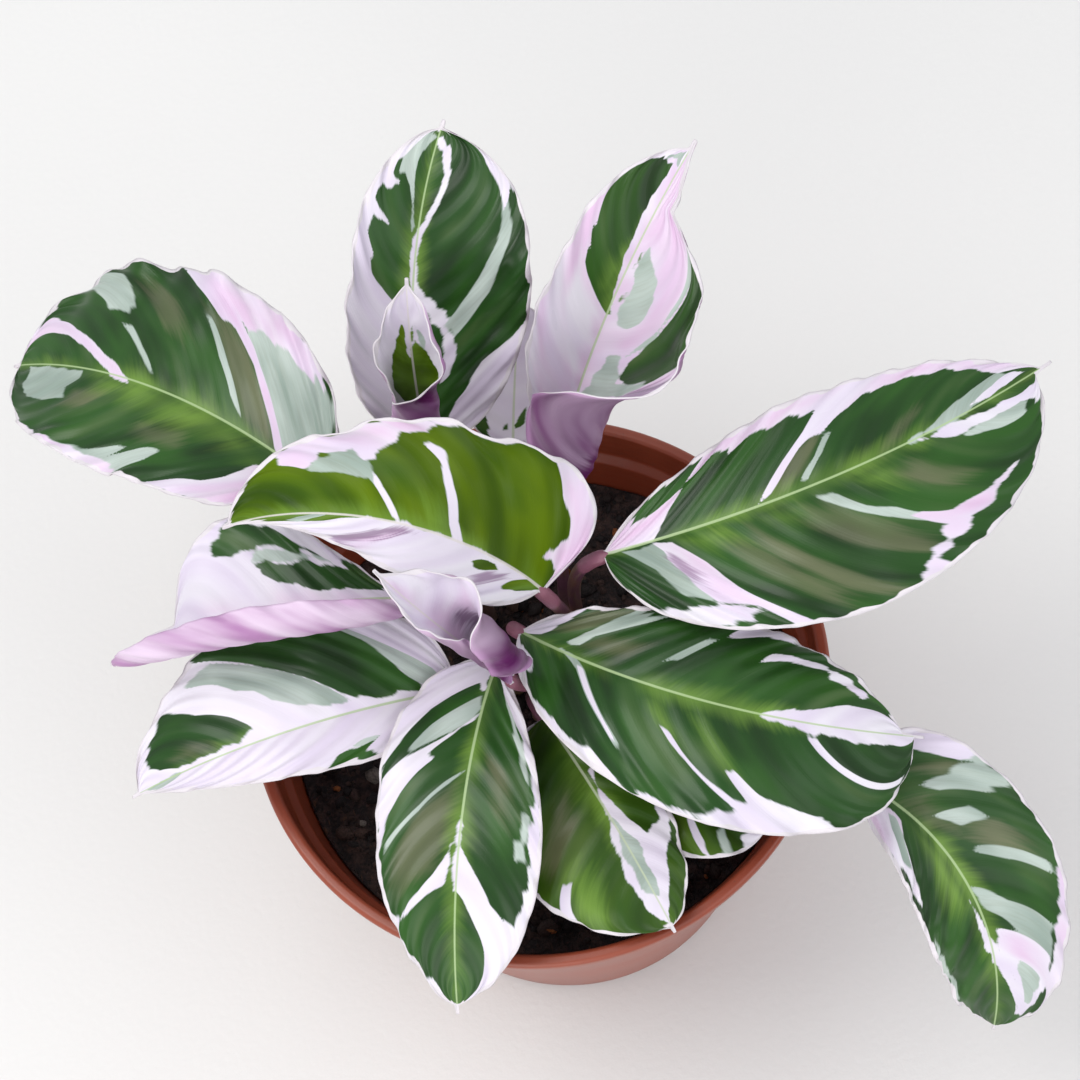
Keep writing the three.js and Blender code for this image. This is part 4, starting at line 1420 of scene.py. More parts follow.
@dataclass(frozen=True)
class CrumbGrain:
    """Loose crumbs: peat, bark and a few orange brown bits, each its own tone."""

    name: str = "crumb_grain"
    black: Triple = tint(18, 11, 10)
    brown: Triple = tint(66, 46, 38)
    orange: Triple = tint(150, 88, 40)
    grey: Triple = tint(120, 112, 104)

    grains: Grain = Grain(2200.0, 3.0)
    browns: Fade = Fade(0.2, 0.85)
    oranges: Fade = Fade(0.93, 0.935)
    greys: Fade = Fade(0.985, 0.99)
    dark_grains: Fade = Fade(0.4, 0.7, 0.5)
    relief: float = 0.0005
    roughness: float = 0.8

    def make(self) -> Material:
        """A tone for each crumb from the number it carries, roughened by grains.

        Returns:
            The material.
        """
        g = Graph(self.name)
        tone = g.level("crumb")
        grains = g.noise(g.place(), self.grains)
        colour = g.blend(g.fade(tone, self.browns), self.black, self.brown)
        colour = g.blend(g.fade(tone, self.oranges), colour, self.orange)
        colour = g.blend(g.fade(tone, self.greys), colour, self.grey)
        colour = g.blend(g.fade(grains, self.dark_grains), colour, self.black)
        return g.surface(grains, self.relief, Base_Color=colour, Roughness=self.roughness)


@dataclass(frozen=True)
class PotPlastic:
    """Satin terracotta plastic with faint turned rings, scuffs and specks of soil dust."""

    name: str = "pot_plastic"
    body: Triple = tint(142, 66, 42)
    shade: Triple = tint(132, 58, 36)
    dust: Triple = tint(92, 58, 44)

    clouds: Grain = Grain(38.0, 3.0)
    specks: Grain = Grain(900.0)
    grain: Grain = Grain(3200.0)
    scuffs: Grain = Grain((60.0, 60.0, 900.0))

    body_clouds: Fade = Fade(0.3, 0.7)
    dust_specks: Fade = Fade(0.68, 0.74, 0.35)
    ring_pitch: float = 0.0021
    ring_height: float = 0.12
    grain_height: float = 0.5
    scuff_height: float = 0.5
    relief: float = 0.00006
    roughness: Line = (0.14, 0.3)

    def make(self) -> Material:
        """Soft clouds of tone and specks of dust, over rings by height.

        Returns:
            The material.
        """
        g = Graph(self.name)
        place = g.place()
        height = g.node("SeparateXYZ", Vector=place).outputs[2]
        clouds, specks = g.noise(place, self.clouds), g.noise(place, self.specks)
        grain, scuffs = g.noise(place, self.grain), g.noise(place, self.scuffs)
        colour = g.blend(g.fade(clouds, self.body_clouds), self.shade, self.body)
        colour = g.blend(g.fade(specks, self.dust_specks), colour, self.dust)
        rings = g.math("SINE", g.times(height, 2.0 * math.pi / self.ring_pitch))
        relief = g.math("ADD", g.times(rings, self.ring_height), g.times(grain, self.grain_height))
        relief = g.line(scuffs, self.scuff_height, relief)
        gloss = g.line(clouds, *self.roughness)
        return g.surface(relief, self.relief, Base_Color=colour, Roughness=gloss)


@dataclass(frozen=True)
class Backdrop:
    """The studio floor's pale matt paint."""

    name: str = "studio_floor"
    paint: Triple = tint(222, 221, 218)
    shade: Triple = tint(214, 213, 211)
    clouds: Grain = Grain(3.0)
    grain: Grain = Grain(500.0)
    relief: float = 0.0001
    roughness: float = 0.8

    def make(self) -> Material:
        """Two near tones in broad clouds.

        Returns:
            The material.
        """
        g = Graph(self.name)
        place = g.place()
        colour = g.blend(g.noise(place, self.clouds), self.paint, self.shade)
        grain = g.noise(place, self.grain)
        return g.surface(grain, self.relief, Base_Color=colour, Roughness=self.roughness)


# ---- The plant's pieces ----


@dataclass(frozen=True)
class Blade:
    """The living blade of a leaf: a thin closed skin with quilted ribs and a keel below.

    crowding draws the rows towards both ends. skin and margin_skin are its thickness at the midrib
    and at the margin. quilt and ripple are the heights of the relief between the ribs and at the
    margin, with periods along the midrib, and quick_height and quick_period what a quicker ripple
    has of the slow one's. quilt_fades are the shares of the width over which the quilting comes in
    at the midrib and goes out at the margin, and halves narrower than full_relief have less of it.
    glow is how far the lime feathering reaches from the midrib, rim the width of the pale margin,
    tip_share what a length towards the tip counts for in it, blush_fade how soon the blush fades
    towards the tip, vein the half width of the midrib at the base and vein_taper what it loses by
    the tip. The bake_ fields lay out the bake.
    """

    leaf: Leaf
    seed: int
    rows: int = 150
    cells: int = 40
    crowding: float = 0.35
    skin: float = 0.00055
    margin_skin: float = 0.00028
    keel: float = 0.0009
    keel_width: float = 0.0012
    quilt: float = 0.00011
    quilt_period: float = 0.0056
    quilt_fades: tuple[float, float] = (0.12, 0.25)
    ripple: float = 0.00045
    ripple_period: float = 0.009
    quick_height: float = 0.35
    quick_period: float = 0.43
    full_relief: float = 0.006
    glow: float = 0.002
    rim: float = 0.0007
    tip_share: float = 0.4
    blush_fade: float = 1.3
    vein: float = 0.0003
    vein_taper: float = 0.6
    bake_edge: float = 0.02
    bake_size: tuple[float, float] = (0.46, 0.96)
    bake_hem: tuple[float, float] = (0.004, 0.012)
    bake_under: tuple[float, float] = (0.5, 0.0)

    def rows_at(self) -> Array:
        """Rows crowded a little towards both ends: u blended with its smooth step."""
        u = np.linspace(0.0, 1.0, self.rows)
        return u + self.crowding * (smooth(u) - u)

    def top(self, s: Array, t: Array) -> tuple[Array, Array]:
        """Upper face and its unit normals.

        The face is the leaf's sheet, moved along its normal by the quilting, a wave of q times
        the length that fades at midrib and margin, and by a small ripple that grows as t^4. Both
        shrink where the half is narrower than full_relief.

        Args:
            s: Rows along the blade.
            t: Columns across it.

        Returns:
            Two grids of vectors.
        """
        plain = self.leaf.sheet(s, self.cells)
        normal = normals_of(plain)
        run = self.leaf.rib(s, t) * self.leaf.length
        out = np.abs(t)[None]
        quilting = np.sin(2.0 * np.pi * run / self.quilt_period + self.seed)
        quilting = quilting * smooth(out / self.quilt_fades[0]) * smooth((1.0 - out) / self.quilt_fades[1])
        turn = self.seed * 1.7 + 2.0 * np.sign(t)[None]  # keeps leaves and halves out of step
        slow = np.sin(2.0 * np.pi * run / self.ripple_period + turn)
        quick = np.sin(2.0 * np.pi * run / (self.quick_period * self.ripple_period) + 2.0 * turn)
        lift = self.quilt * quilting + self.ripple * (slow + self.quick_height * quick) * out**4
        lift = lift * smooth(self.leaf.widths(s, t) / self.full_relief)
        return plain + normal * lift[..., None], normal

    def thickness(self, s: Array, t: Array) -> Array:
        """A skin that thins towards the margin as t^2, and a keel that fades out towards the tip.

        The keel is keel exp(-(distance from the midrib / keel_width)^2) (1 - s).

        Args:
            s: Rows along the blade.
            t: Columns across it.

        Returns:
            Both together, at each place.
        """
        width = self.leaf.widths(s, t)
        skin = self.skin + (self.margin_skin - self.skin) * t[None] ** 2 * np.ones_like(width)
        keel = self.keel * np.exp(-((t[None] * width / self.keel_width) ** 2)) * (1.0 - s[:, None])
        return skin + keel

    def fields(self, s: Array, t: Array) -> dict[str, Array]:
        """What the finishes need to know at each point of a face.

        rib is the way along and across in metres with a seed, rim, margin and vein are depths,
        and blush and the yellowing, partly a new leaf's colour and partly painted backlight, are
        shares.

        Args:
            s: Rows along the blade.
            t: Columns across it.

        Returns:
            Grids of numbers or vectors, with those of the markings.
        """
        leaf = self.leaf
        width = leaf.widths(s, t)
        signed = t[None] * width
        q = leaf.rib(s, t)
        made = leaf.markings.fields(q, np.broadcast_to(t, q.shape), leaf.length, leaf.wider())
        made["rib"] = np.stack([q * leaf.length, signed, np.full_like(q, 3.0 * self.seed)], axis=-1)
        to_side = (1.0 - np.abs(t))[None] * width
        to_tip = (1.0 - s)[:, None] * leaf.length * self.tip_share
        made["margin"] = np.minimum(to_side, to_tip)
        made["rim"] = self.rim - made["margin"]
        # how yellow the greens are: partly a new leaf's colour, partly painted backlight
        made["youth_and_backlight"] = np.full_like(q, leaf.youth_and_backlight)
        fade = smooth(self.blush_fade - self.blush_fade * s)
        made["blush"] = leaf.blush * fade[:, None] * np.ones_like(q)
        made["vein"] = self.vein * (1.0 - self.vein_taper * s[:, None]) - np.abs(signed)
        glow = self.glow * np.sin(np.pi * smooth(s))[:, None] - np.abs(signed)
        made["lime"] = np.maximum(made["lime"], glow)
        return made

    def layout(self, faces: Array, hems: int) -> Array:
        """Place in the bake of each face corner: the top on the left, the underside on the right.

        Args:
            faces: Quads of the upper face.
            hems: Quads of the hem round the margin, which lie in a strip at the left edge.

        Returns:
            Two numbers for each corner of the upper faces, the hem and the lower faces.
        """
        across, up = self.bake_size
        u = self.bake_edge + across * np.linspace(0.0, 1.0, 2 * self.cells + 1)
        v = self.bake_edge + up * np.linspace(0.0, 1.0, self.rows)
        flat = np.stack(np.meshgrid(u, v), axis=-1).reshape(-1, 2)
        steps = np.linspace(self.bake_edge, 1.0 - self.bake_edge, hems + 1)
        low, high = self.bake_hem
        corners = ((low, steps[1:]), (low, steps[:-1]), (high, steps[:-1]), (high, steps[1:]))
        hem = np.stack([np.stack([np.full(hems, x), y], axis=-1) for x, y in corners], axis=1)
        return np.concatenate([flat[faces], hem, flat[faces[:, ::-1]] + self.bake_under])

    def draft(self) -> Draft:
        """The closed skin with its fields and its layout for the bake.

        The lower face is the upper one moved in along the normal by the thickness, and a strip
        of quads, the hem, closes the skin round the margin.

        Returns:
            The mesh.
        """
        s = self.rows_at()
        t = np.linspace(-1.0, 1.0, 2 * self.cells + 1)
        upper, normal = self.top(s, t)
        lower = upper - normal * self.thickness(s, t)[..., None]
        size = len(s) * len(t)
        fields = {
            name: np.concatenate([values.reshape(size, -1)] * 2).squeeze()
            for name, values in self.fields(s, t).items()
        }
        quads = grid_quads(len(s), len(t))
        index = np.arange(size).reshape(len(s), len(t))
        loop = np.concatenate([index[0, :-1], index[:-1, -1], index[-1, :0:-1], index[:0:-1, 0]])
        after = np.roll(loop, -1)
        hem = np.stack([after, loop, loop + size, after + size], axis=-1)
        faces = np.concatenate([quads, hem, quads[:, ::-1] + size])
        finish = np.concatenate([np.zeros(len(quads) + len(hem)), np.ones(len(quads))])
        points = np.concatenate([upper.reshape(-1, 3), lower.reshape(-1, 3)])
        layout = self.layout(quads, len(hem))
        return Draft(f"blade_{self.leaf.name}", points, (faces,), fields, layout, finish)

    def build(self, top: Material, under: Material) -> Object:
        """Dress the blade and let it stand for the frame's blade."""
        return self.draft().piece("leaf_blade", (top, under), f"leaf_{self.leaf.name}")


@dataclass(frozen=True)
class Stalk:
    """The stalk of one leaf, from its bed in the soil to under its blade.

    tuck is the straight end under the blade, tuck_edge and knee_edge how far their tapers run,
    tip_taper what the radius loses at the tuck, ribs how many ribs run along it and groove how
    deep they are as a share of the radius, and foot_cap and tip_cap how far the ends bulge.
    """

    leaf: Leaf
    sides: int = 20
    rings: int = 96
    bed_points: int = 30
    curve_points: int = 240
    tuck: float = 0.0024
    tuck_edge: float = 0.0012
    tip_taper: float = 0.68
    knee_edge: float = 0.0022
    knee_start: float = 0.001
    ribs: int = 3
    groove: float = 0.05
    foot_cap: float = 0.0004
    tip_cap: float = 0.0002

    def path(self) -> Array:
        """Points of the run: straight up to the collar, then a Bezier curve to the blade.

        The curve leaves the collar upwards and meets the blade along its midrib, and a short
        straight tuck carries it on under the blade.

        Returns:
            Points at even steps of length.
        """
        root_x, root_y = self.leaf.root
        point, _, up = self.leaf.midrib(np.zeros(1))
        direction = self.leaf.direction(np.zeros(1))[0]
        bed = np.array([root_x, root_y, SOIL_TOP - STALK_DEPTH])
        collar = np.array([root_x, root_y, SOIL_TOP + COLLAR])
        end = point[0] - up[0] * (SOLID_THICKNESS + SOLID_KEEL) / 2.0
        low = collar + (0.0, 0.0, STALK_CLIMB * np.linalg.norm(end - collar))
        high = end - direction * KNEE_HANDLE
        u = np.linspace(0.0, 1.0, self.curve_points)[:, None]
        curve = (1 - u) ** 3 * collar + 3 * u * (1 - u) ** 2 * low + 3 * u**2 * (1 - u) * high + u**3 * end
        straight = np.linspace(bed, collar, self.bed_points)[:-1]
        run = np.vstack([straight, curve, end + direction * self.tuck])
        steps = np.concatenate([[0.0], np.cumsum(np.linalg.norm(np.diff(run, axis=0), axis=1))])
        even = np.linspace(0.0, steps[-1], self.rings)
        return np.stack([np.interp(even, steps, run[:, k]) for k in range(3)], axis=-1)

    def radii(self, run: Array) -> tuple[Array, Array]:
        """Radius, wide at the sheath and the knee and tapered at the tuck, and share of knee.

        Args:
            run: Lengths along the path.

        Returns:
            Two numbers for each length.
        """
        left = run[-1] - self.tuck - run
        sheath = 1.0 - smooth((run - STALK_DEPTH) / SHEATH_LENGTH)
        knee = 1.0 - smooth((left - KNEE_LENGTH + self.knee_start) / self.knee_edge)
        radius = STALK_RADIUS + (SHEATH_RADIUS - STALK_RADIUS) * sheath
        radius = radius + (KNEE_RADIUS - STALK_RADIUS) * knee
        tuck = smooth(1.0 - (left + self.tuck) / (self.tuck + self.tuck_edge))
        return radius * (1.0 - self.tip_taper * tuck), knee

    def build(self, skin: Material) -> Object:
        """Carry a grooved circle along the path, and close it at both ends.

        Args:
            skin: Finish of the stalk.

        Returns:
            The piece.
        """
        path = self.path()
        travel = np.gradient(path, axis=0)
        travel /= np.linalg.norm(travel, axis=1, keepdims=True)
        lean = path[-1] - path[0]
        sideways = np.array([-lean[1], lean[0], 0.0]) + (UPRIGHT, 0.0, 0.0)
        normal = sideways - travel * (travel @ sideways)[:, None]
        normal /= np.linalg.norm(normal, axis=1, keepdims=True)
        binormal = np.cross(travel, normal)
        run = np.concatenate([[0.0], np.cumsum(np.linalg.norm(np.diff(path, axis=0), axis=1))])
        radius, knee = self.radii(run)
        angle = circle(self.sides)
        groove = 1.0 - self.groove * np.cos(self.ribs * angle)[None] * (1.0 - knee)[:, None]
        reach = radius[:, None] * groove
        out = normal[:, None] * (reach * np.cos(angle))[..., None]
        over = binormal[:, None] * (reach * np.sin(angle))[..., None]
        rings = path[:, None] + out + over
        tips = np.stack([path[0] - travel[0] * self.foot_cap, path[-1] + travel[-1] * self.tip_cap])
        points = np.concatenate([rings.reshape(-1, 3), tips])
        seed = 7.0 * (self.leaf.base[0] * 900.0 % 1.0)  # moves the noise from stalk to stalk
        turn = np.broadcast_to(np.sin(angle)[None] * STALK_RADIUS, reach.shape) + seed
        above, share = (np.broadcast_to(values[:, None], reach.shape) for values in (run, knee))
        kept = np.stack([turn, above, share], axis=-1).reshape(-1, 3)
        fields = {"run": np.concatenate([kept, kept[[0, -1]]])}
        draft = Draft(f"petiole_{self.leaf.name}", points, tube(self.rings, self.sides), fields)
        return draft.piece("stalk", (skin,), f"stalk_{self.leaf.name}")


@dataclass(frozen=True)
class Soil:
    """The root ball: a lumpy top inside the pot, with a tapering side and a flat underside.

    waves are the frame's broad crossed waves, as height, turns along X and Y and phase, for
    millimetres. The fine waves have random lengths between fine_lengths and a height of
    fine_slope times their length, and fade to fine_at_wall of it at the wall, between the shares
    fade_start and fade_start + fade_width of the radius. foot holds where the wall's radius is
    taken for the side's last two rings, and their clearance, and foot_height lifts the upper one.
    """

    rings: int = 118
    sides: int = 360
    seed: int = 11
    waves: tuple[tuple[float, ...], ...] = (
        (0.6, 0.31, 0.27, 0.9), (0.5, 0.53, -0.47, 2.1), (0.4, 0.22, 0.71, 1.6),
    )
    fine_count: int = 40
    fine_lengths: tuple[float, float] = (0.002, 0.009)
    fine_slope: float = 0.018
    fine_at_wall: float = 0.35
    fade_start: float = 0.85
    fade_width: float = 0.15
    foot: tuple[tuple[float, float], ...] = ((0.004, 0.0005), (0.003, 0.0015))
    foot_height: float = 0.002

    def relief(self, x: Array, y: Array) -> Array:
        """Height above the mean level: the broad waves, fading at the wall, and the fine ones.

        Args:
            x: Places along X.
            y: Places along Y.

        Returns:
            Heights in metres.
        """
        radius = pot_inner(SOIL_TOP) - SOIL_GAP
        broad = sum(h * np.sin(a * x / MM + b * y / MM + c) for h, a, b, c in self.waves) * MM
        chance = np.random.default_rng(self.seed)
        lengths = chance.uniform(*self.fine_lengths, self.fine_count)
        headings = chance.uniform(0.0, 2.0 * np.pi, self.fine_count)
        phases = chance.uniform(0.0, 2.0 * np.pi, self.fine_count)
        fine = 0.0
        for length, way, phase in zip(lengths, headings, phases):
            run = x * math.cos(way) + y * math.sin(way)
            fine = fine + self.fine_slope * length * np.sin(2.0 * np.pi * run / length + phase)
        reach = np.hypot(x, y)
        fade = 1.0 - smooth((reach - self.fade_start * radius) / (self.fade_width * radius))
        return broad * fade + fine * (self.fine_at_wall + (1.0 - self.fine_at_wall) * fade)

    def build(self, grain: Material) -> Object:
        """Turn the profile round the axis, with the relief added to the top's rings.

        Args:
            grain: Finish of the soil.

        Returns:
            The piece.
        """
        radius = pot_inner(SOIL_TOP) - SOIL_GAP
        bottom = FLOOR + SOIL_GAP
        foot = [pot_inner(height) - clear for height, clear in self.foot]
        reach = np.concatenate([np.linspace(0.0, radius, self.rings)[1:], foot])
        height = np.concatenate([np.full(self.rings - 1, SOIL_TOP), [bottom + self.foot_height, bottom]])
        angle = circle(self.sides)
        x = reach[:, None] * np.cos(angle)[None]
        y = reach[:, None] * np.sin(angle)[None]
        top = (height == SOIL_TOP)[:, None]
        z = height[:, None] + np.where(top, self.relief(x, y), 0.0)
        crown = SOIL_TOP + float(self.relief(np.zeros(1), np.zeros(1))[0])
        hubs = np.array([[0.0, 0.0, crown], [0.0, 0.0, bottom]])
        points = np.concatenate([np.stack([x, y, z], axis=-1).reshape(-1, 3), hubs])
        faces = tube(len(reach), self.sides, inward=True)
        return Draft("potting_mix", points, faces).piece("potting_soil", (grain,), "soil")


@dataclass(frozen=True)
class Crumbs:
    """Loose crumbs that lie half sunk on the soil.

    wall_gap keeps them off the pot. A crumb's half size is least plus up to spread, mostly near
    the least, and lift raises it by a share of that. stretches and roughness are the ranges that
    its axes and its corners are scaled by.
    """

    soil: Soil
    count: int = 1500
    seed: int = 23
    wall_gap: float = 0.0025
    least: float = 0.0005
    spread: float = 0.0013
    lift: float = 0.25
    stretches: tuple[float, float] = (0.55, 1.5)
    roughness: tuple[float, float] = (0.75, 1.2)

    def lump(self) -> tuple[Array, Array]:
        """A ball of 18 points and 32 triangles: an eight-sided solid with its edges halved.

        Returns:
            Its points and its faces.
        """
        corners = np.concatenate([np.eye(3), -np.eye(3)])[[0, 3, 1, 4, 2, 5]]
        sides = [(4, 0, 2), (4, 2, 1), (4, 1, 3), (4, 3, 0), (5, 2, 0), (5, 1, 2), (5, 3, 1), (5, 0, 3)]
        edges = sorted({tuple(sorted(pair)) for a, b, c in sides for pair in ((a, b), (b, c), (c, a))})
        middles = {pair: 6 + i for i, pair in enumerate(edges)}
        halves = np.array([corners[a] + corners[b] for a, b in edges]) / math.sqrt(2.0)
        faces = []
        for a, b, c in sides:
            ab, bc, ca = (middles[tuple(sorted(pair))] for pair in ((a, b), (b, c), (c, a)))
            faces += [(a, ab, ca), (b, bc, ab), (c, ca, bc), (ab, bc, ca)]
        return np.concatenate([corners, halves]), np.array(faces)

    def build(self, grain: Material) -> Object:
        """Scatter lumps over the disc, each scaled, knocked out of round and turned at random.

        Args:
            grain: Finish of the crumbs.

        Returns:
            The piece.
        """
        chance = np.random.default_rng(self.seed)
        ball, faces = self.lump()
        reach = (pot_inner(SOIL_TOP) - self.wall_gap) * np.sqrt(chance.uniform(0.0, 1.0, self.count))
        angle = chance.uniform(0.0, 2.0 * np.pi, self.count)
        x, y = reach * np.cos(angle), reach * np.sin(angle)
        size = self.least + self.spread * chance.uniform(0.0, 1.0, self.count) ** 3
        stretch = chance.uniform(*self.stretches, (self.count, 1, 3))
        rough = chance.uniform(*self.roughness, (self.count, len(ball), 1))
        turns = np.linalg.qr(chance.normal(size=(self.count, 3, 3)))[0]
        turns[:, :, 0] *= np.linalg.det(turns)[:, None]
        shapes = np.einsum("nij,nkj->nki", turns, ball[None] * stretch * rough)
        height = SOIL_TOP + self.soil.relief(x, y) + self.lift * size
        points = np.stack([x, y, height], axis=-1)[:, None] + shapes * size[:, None, None]
        offsets = np.arange(self.count)[:, None, None] * len(ball)
        every = (faces[None] + offsets).reshape(-1, 3)
        tones = np.repeat(chance.uniform(0.0, 1.0, self.count), len(ball))
        draft = Draft("soil_crumbs", points.reshape(-1, 3), (every,), {"crumb": tones})
        return draft.piece("potting_soil", (grain,))


# ---- The pot ----


@dataclass(frozen=True)
class Pot:
    """The moulded pot: a tapering wall under a stepped band with a rolled lip, holes below.

    chamfer cuts the foot's edge, step is the slope under the band, and corner the slant where the
    floor meets the wall. softness rounds every corner of the section, up to most_trim of the
    shorter side beside it.
    """

    sides: int = 288
    chamfer: float = 0.0015
    step: float = 0.001
    corner: float = 0.001
    softness: float = 0.0005
    most_trim: float = 0.45
    holes: int = 6
    hole_radius: float = 0.0045
    hole_circle: float = 0.027
    hole_sides: int = 40

    def profile(self) -> Array:
        """The section's corners, outside and then inside, from the axis round to the axis.

        Returns:
            Radius and height of each.
        """
        band_inner = BAND_RADIUS - WALL
        lip_bottom = POT_HEIGHT - LIP_HEIGHT
        return np.array(
            [
                (0.0, 0.0),
                (FOOT_RADIUS - self.chamfer, 0.0),
                (FOOT_RADIUS, self.chamfer),
                (SHOULDER_RADIUS, BAND_BOTTOM),
                (BAND_RADIUS - EDGE_ROUND, BAND_BOTTOM + self.step),
                (BAND_RADIUS, lip_bottom),
                (RIM_RADIUS, lip_bottom + EDGE_ROUND),
                (RIM_RADIUS, POT_HEIGHT - EDGE_ROUND),
                (RIM_RADIUS - EDGE_ROUND, POT_HEIGHT),
                (band_inner + EDGE_ROUND, POT_HEIGHT),
                (band_inner, POT_HEIGHT - EDGE_ROUND),
                (band_inner - EDGE_ROUND, BAND_BOTTOM + self.step + WALL),
                (pot_inner(BAND_BOTTOM), BAND_BOTTOM + WALL / 2.0),
                (pot_inner(FLOOR + self.corner), FLOOR + self.corner),
                (pot_inner(FLOOR) - self.corner, FLOOR),
                (0.0, FLOOR),
            ]
        )

    def softened(self, profile: Array, steps: int = 5) -> Array:
        """Each inner corner of a profile as a short curve.

        A corner P between points A and B becomes the Bezier curve from P - trim towards A, by
        way of P, to P + trim towards B.

        Args:
            profile: Points of the section.
            steps: Points on each corner.

        Returns:
            The section with its corners eased.
        """
        before, corner, after = profile[:-2], profile[1:-1], profile[2:]
        back, ahead = before - corner, after - corner
        short = np.minimum(np.linalg.norm(back, axis=1), np.linalg.norm(ahead, axis=1))
        trim = np.minimum(self.softness, self.most_trim * short)[:, None]
        start = corner + back / np.linalg.norm(back, axis=1, keepdims=True) * trim
        end = corner + ahead / np.linalg.norm(ahead, axis=1, keepdims=True) * trim
        u = np.linspace(0.0, 1.0, steps)[None, :, None]
        eased = (1 - u) ** 2 * start[:, None] + 2 * u * (1 - u) * corner[:, None] + u**2 * end[:, None]
        return np.concatenate([profile[:1], eased.reshape(-1, 2), profile[-1:]])

    def build(self, plastic: Material) -> Object:
        """Turn the section round the axis, then cut the drain holes through the floor.

        Args:
            plastic: Finish of the pot.

        Returns:
            The piece.
        """
        section = self.softened(self.profile())[1:-1]
        angle = circle(self.sides)
        reach, height = section[:, :1], section[:, 1:]
        turned = np.stack([reach * np.cos(angle), reach * np.sin(angle), height + 0.0 * angle], axis=-1)
        points = np.concatenate([turned.reshape(-1, 3), [[0.0, 0.0, 0.0], [0.0, 0.0, FLOOR]]])
        draft = Draft("pot_shell", points, tube(len(section), self.sides))
        shell = draft.piece("pot_plastic", (plastic,), "pot")
        self.drill(shell)
        return shell

    def drums(self) -> Mesh:
        """One closed upright drum for each hole, from under the floor to above it.

        Returns:
            A mesh of its own.
        """
        angle = circle(self.hole_sides)
        rim = np.stack([np.cos(angle), np.sin(angle)], axis=-1) * self.hole_radius
        points, walls, ends = [], [], []
        for i in range(self.holes):
            way = 2.0 * math.pi * i / self.holes
            middle = np.array([math.cos(way), math.sin(way)]) * self.hole_circle
            wall, end = tube(2, self.hole_sides)
            walls += (wall + len(points)).tolist()
            ends += (end + len(points)).tolist()
            rings = [(x, y, z) for z in (-FLOOR, 2.0 * FLOOR) for x, y in rim + middle]
            points += rings + [(*middle, -FLOOR), (*middle, 2.0 * FLOOR)]
        mesh = bpy.data.meshes.new("drums")
        mesh.from_pydata(points, [], walls + ends)
        return mesh

    def drill(self, shell: Object) -> None:
        """Take the drums out of the floor, and keep the cut mesh in the shell.

        Args:
            shell: The pot's piece.
        """
        mesh = self.drums()
        drums = placed("drums", mesh)
        cut = shell.modifiers.new("drain", "BOOLEAN")
        cut.operation = "DIFFERENCE"
        cut.solver = "EXACT"
        cut.object = drums
        graph = bpy.context.evaluated_depsgraph_get()
        drilled = bpy.data.meshes.new_from_object(shell.evaluated_get(graph))
        shell.modifiers.clear()
        whole = shell.data
        shell.data = drilled
        drilled.name = "pot_shell"
        bpy.data.meshes.remove(whole)
        bpy.data.objects.remove(drums)
        bpy.data.meshes.remove(mesh)


# ---- The studio ----


@dataclass(frozen=True)
class Lamp:
    """A square soft light at a place, facing the plant."""

    name: str
    place: Triple
    size: float
    power: float
    colour: Triple
    aim: Triple = (0.0, 0.0, 0.1)

    def build(self) -> None:
        """Hang the light and turn it towards its aim."""
        data = bpy.data.lights.new(self.name, "AREA")
        data.size = self.size
        data.energy = self.power
        data.color = self.colour
        made = placed(self.name, data)
        made.location = self.place
        away = Vector(self.place) - Vector(self.aim)
        made.rotation_euler = away.to_track_quat("Z", "Y").to_euler()


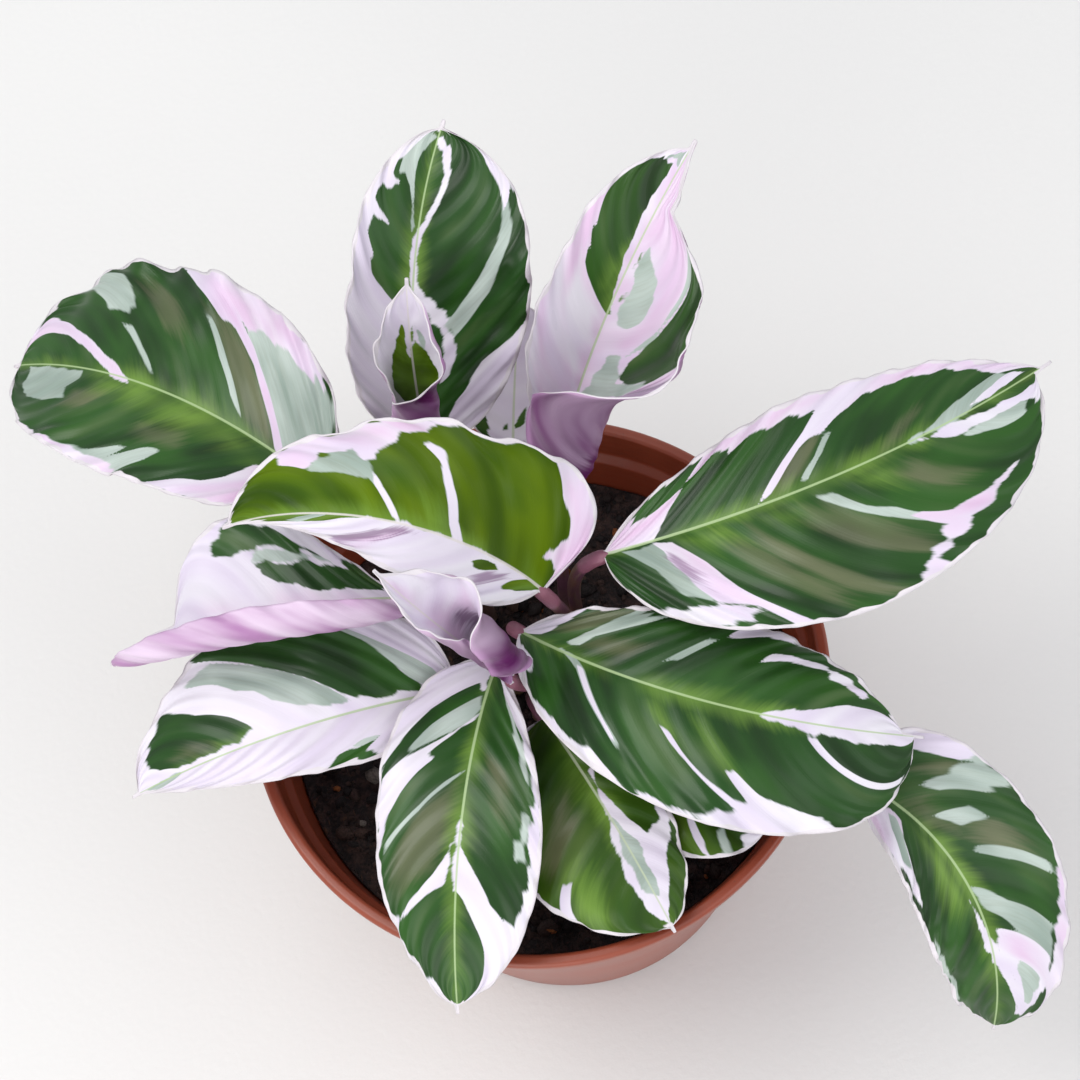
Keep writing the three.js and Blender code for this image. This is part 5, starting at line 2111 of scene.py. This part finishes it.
@dataclass(frozen=True)
class Studio:
    """Pale floor, soft lights and the camera, which looks steeply down with a slight roll."""

    elevation: float = 66.0
    roll: float = -12.0
    aim: Triple = (0.0, 0.0, POT_HEIGHT)
    sideways: float = 0.0005
    upwards: float = 0.0286
    distance: float = 0.4935
    lens: float = 80.0
    sensor: float = 36.0
    nearest: float = 0.01
    floor_reach: float = 4.0
    lamps: tuple[Lamp, ...] = (
        Lamp("key", (-0.4, 0.1, 1.0), 0.6, 5.4, (1.0, 0.99, 0.97)),
        Lamp("fill", (0.7, -0.5, 0.8), 0.9, 3.2, (0.97, 0.98, 1.0)),
        Lamp("front", (-0.4, -0.95, 0.42), 0.8, 4.6, (1.0, 0.98, 0.97)),
    )
    sky_colour: Triple = (0.93, 0.95, 1.0)
    sky_strength: float = 0.8

    def camera(self) -> Object:
        """Camera whose axes are the view's right, up and back, turned by the roll.

        Returns:
            The camera, distance back from the aim and shifted sideways and upwards.
        """
        tilt = math.radians(self.elevation)
        back = Vector((0.0, -math.cos(tilt), math.sin(tilt)))
        right = Vector((1.0, 0.0, 0.0))
        up = back.cross(right)
        turn = math.radians(self.roll)
        view_right = right * math.cos(turn) + up * math.sin(turn)
        view_up = up * math.cos(turn) - right * math.sin(turn)
        data = bpy.data.cameras.new("camera")
        data.lens = self.lens
        data.sensor_width = self.sensor
        data.sensor_fit = "HORIZONTAL"
        data.clip_start = self.nearest
        place = Vector(self.aim) + back * self.distance
        place = place + view_right * self.sideways + view_up * self.upwards
        axes = Matrix((view_right, view_up, back)).transposed()
        made = placed("camera", data)
        made.matrix_world = Matrix.Translation(place) @ axes.to_4x4()
        return made

    def floor(self) -> Object:
        """A square of floor, wide enough to fill the view.

        Returns:
            Its object.
        """
        signs = np.array([(-1.0, -1.0, 0.0), (1.0, -1.0, 0.0), (1.0, 1.0, 0.0), (-1.0, 1.0, 0.0)])
        mesh = bpy.data.meshes.new("floor")
        mesh.from_pydata((self.floor_reach * signs).tolist(), [], [(0, 1, 2, 3)])
        mesh.materials.append(Backdrop().make())
        return placed("floor", mesh)

    def build(self) -> None:
        """Set the floor, the lights, the sky and the camera."""
        floor = self.floor()
        for lamp in self.lamps:
            lamp.build()
        world = bpy.data.worlds.new("sky")
        world.use_nodes = True
        sky = world.node_tree.nodes["Background"]
        sky.inputs["Color"].default_value = (*self.sky_colour, 1.0)
        sky.inputs["Strength"].default_value = self.sky_strength
        scene = bpy.context.scene
        scene.world = world
        scene.camera = self.camera()
        scene.view_settings.view_transform = "Standard"


# ---- Everything together ----


def main() -> None:
    """Build the studio, the pot, the soil and the leaves."""
    logging.basicConfig(level=logging.INFO, format="%(message)s")
    Studio().build()
    Pot().build(PotPlastic().make())
    soil = Soil()
    soil.build(SoilGrain().make())
    Crumbs(soil).build(CrumbGrain().make())
    skin = StalkSkin().make()
    top, under = BladeTop().make(), BladeUnder().make()
    for seed, leaf in enumerate(LEAVES):
        Stalk(leaf).build(skin)
        Blade(leaf, seed).build(top, under)


if __name__ == "__main__":
    main()
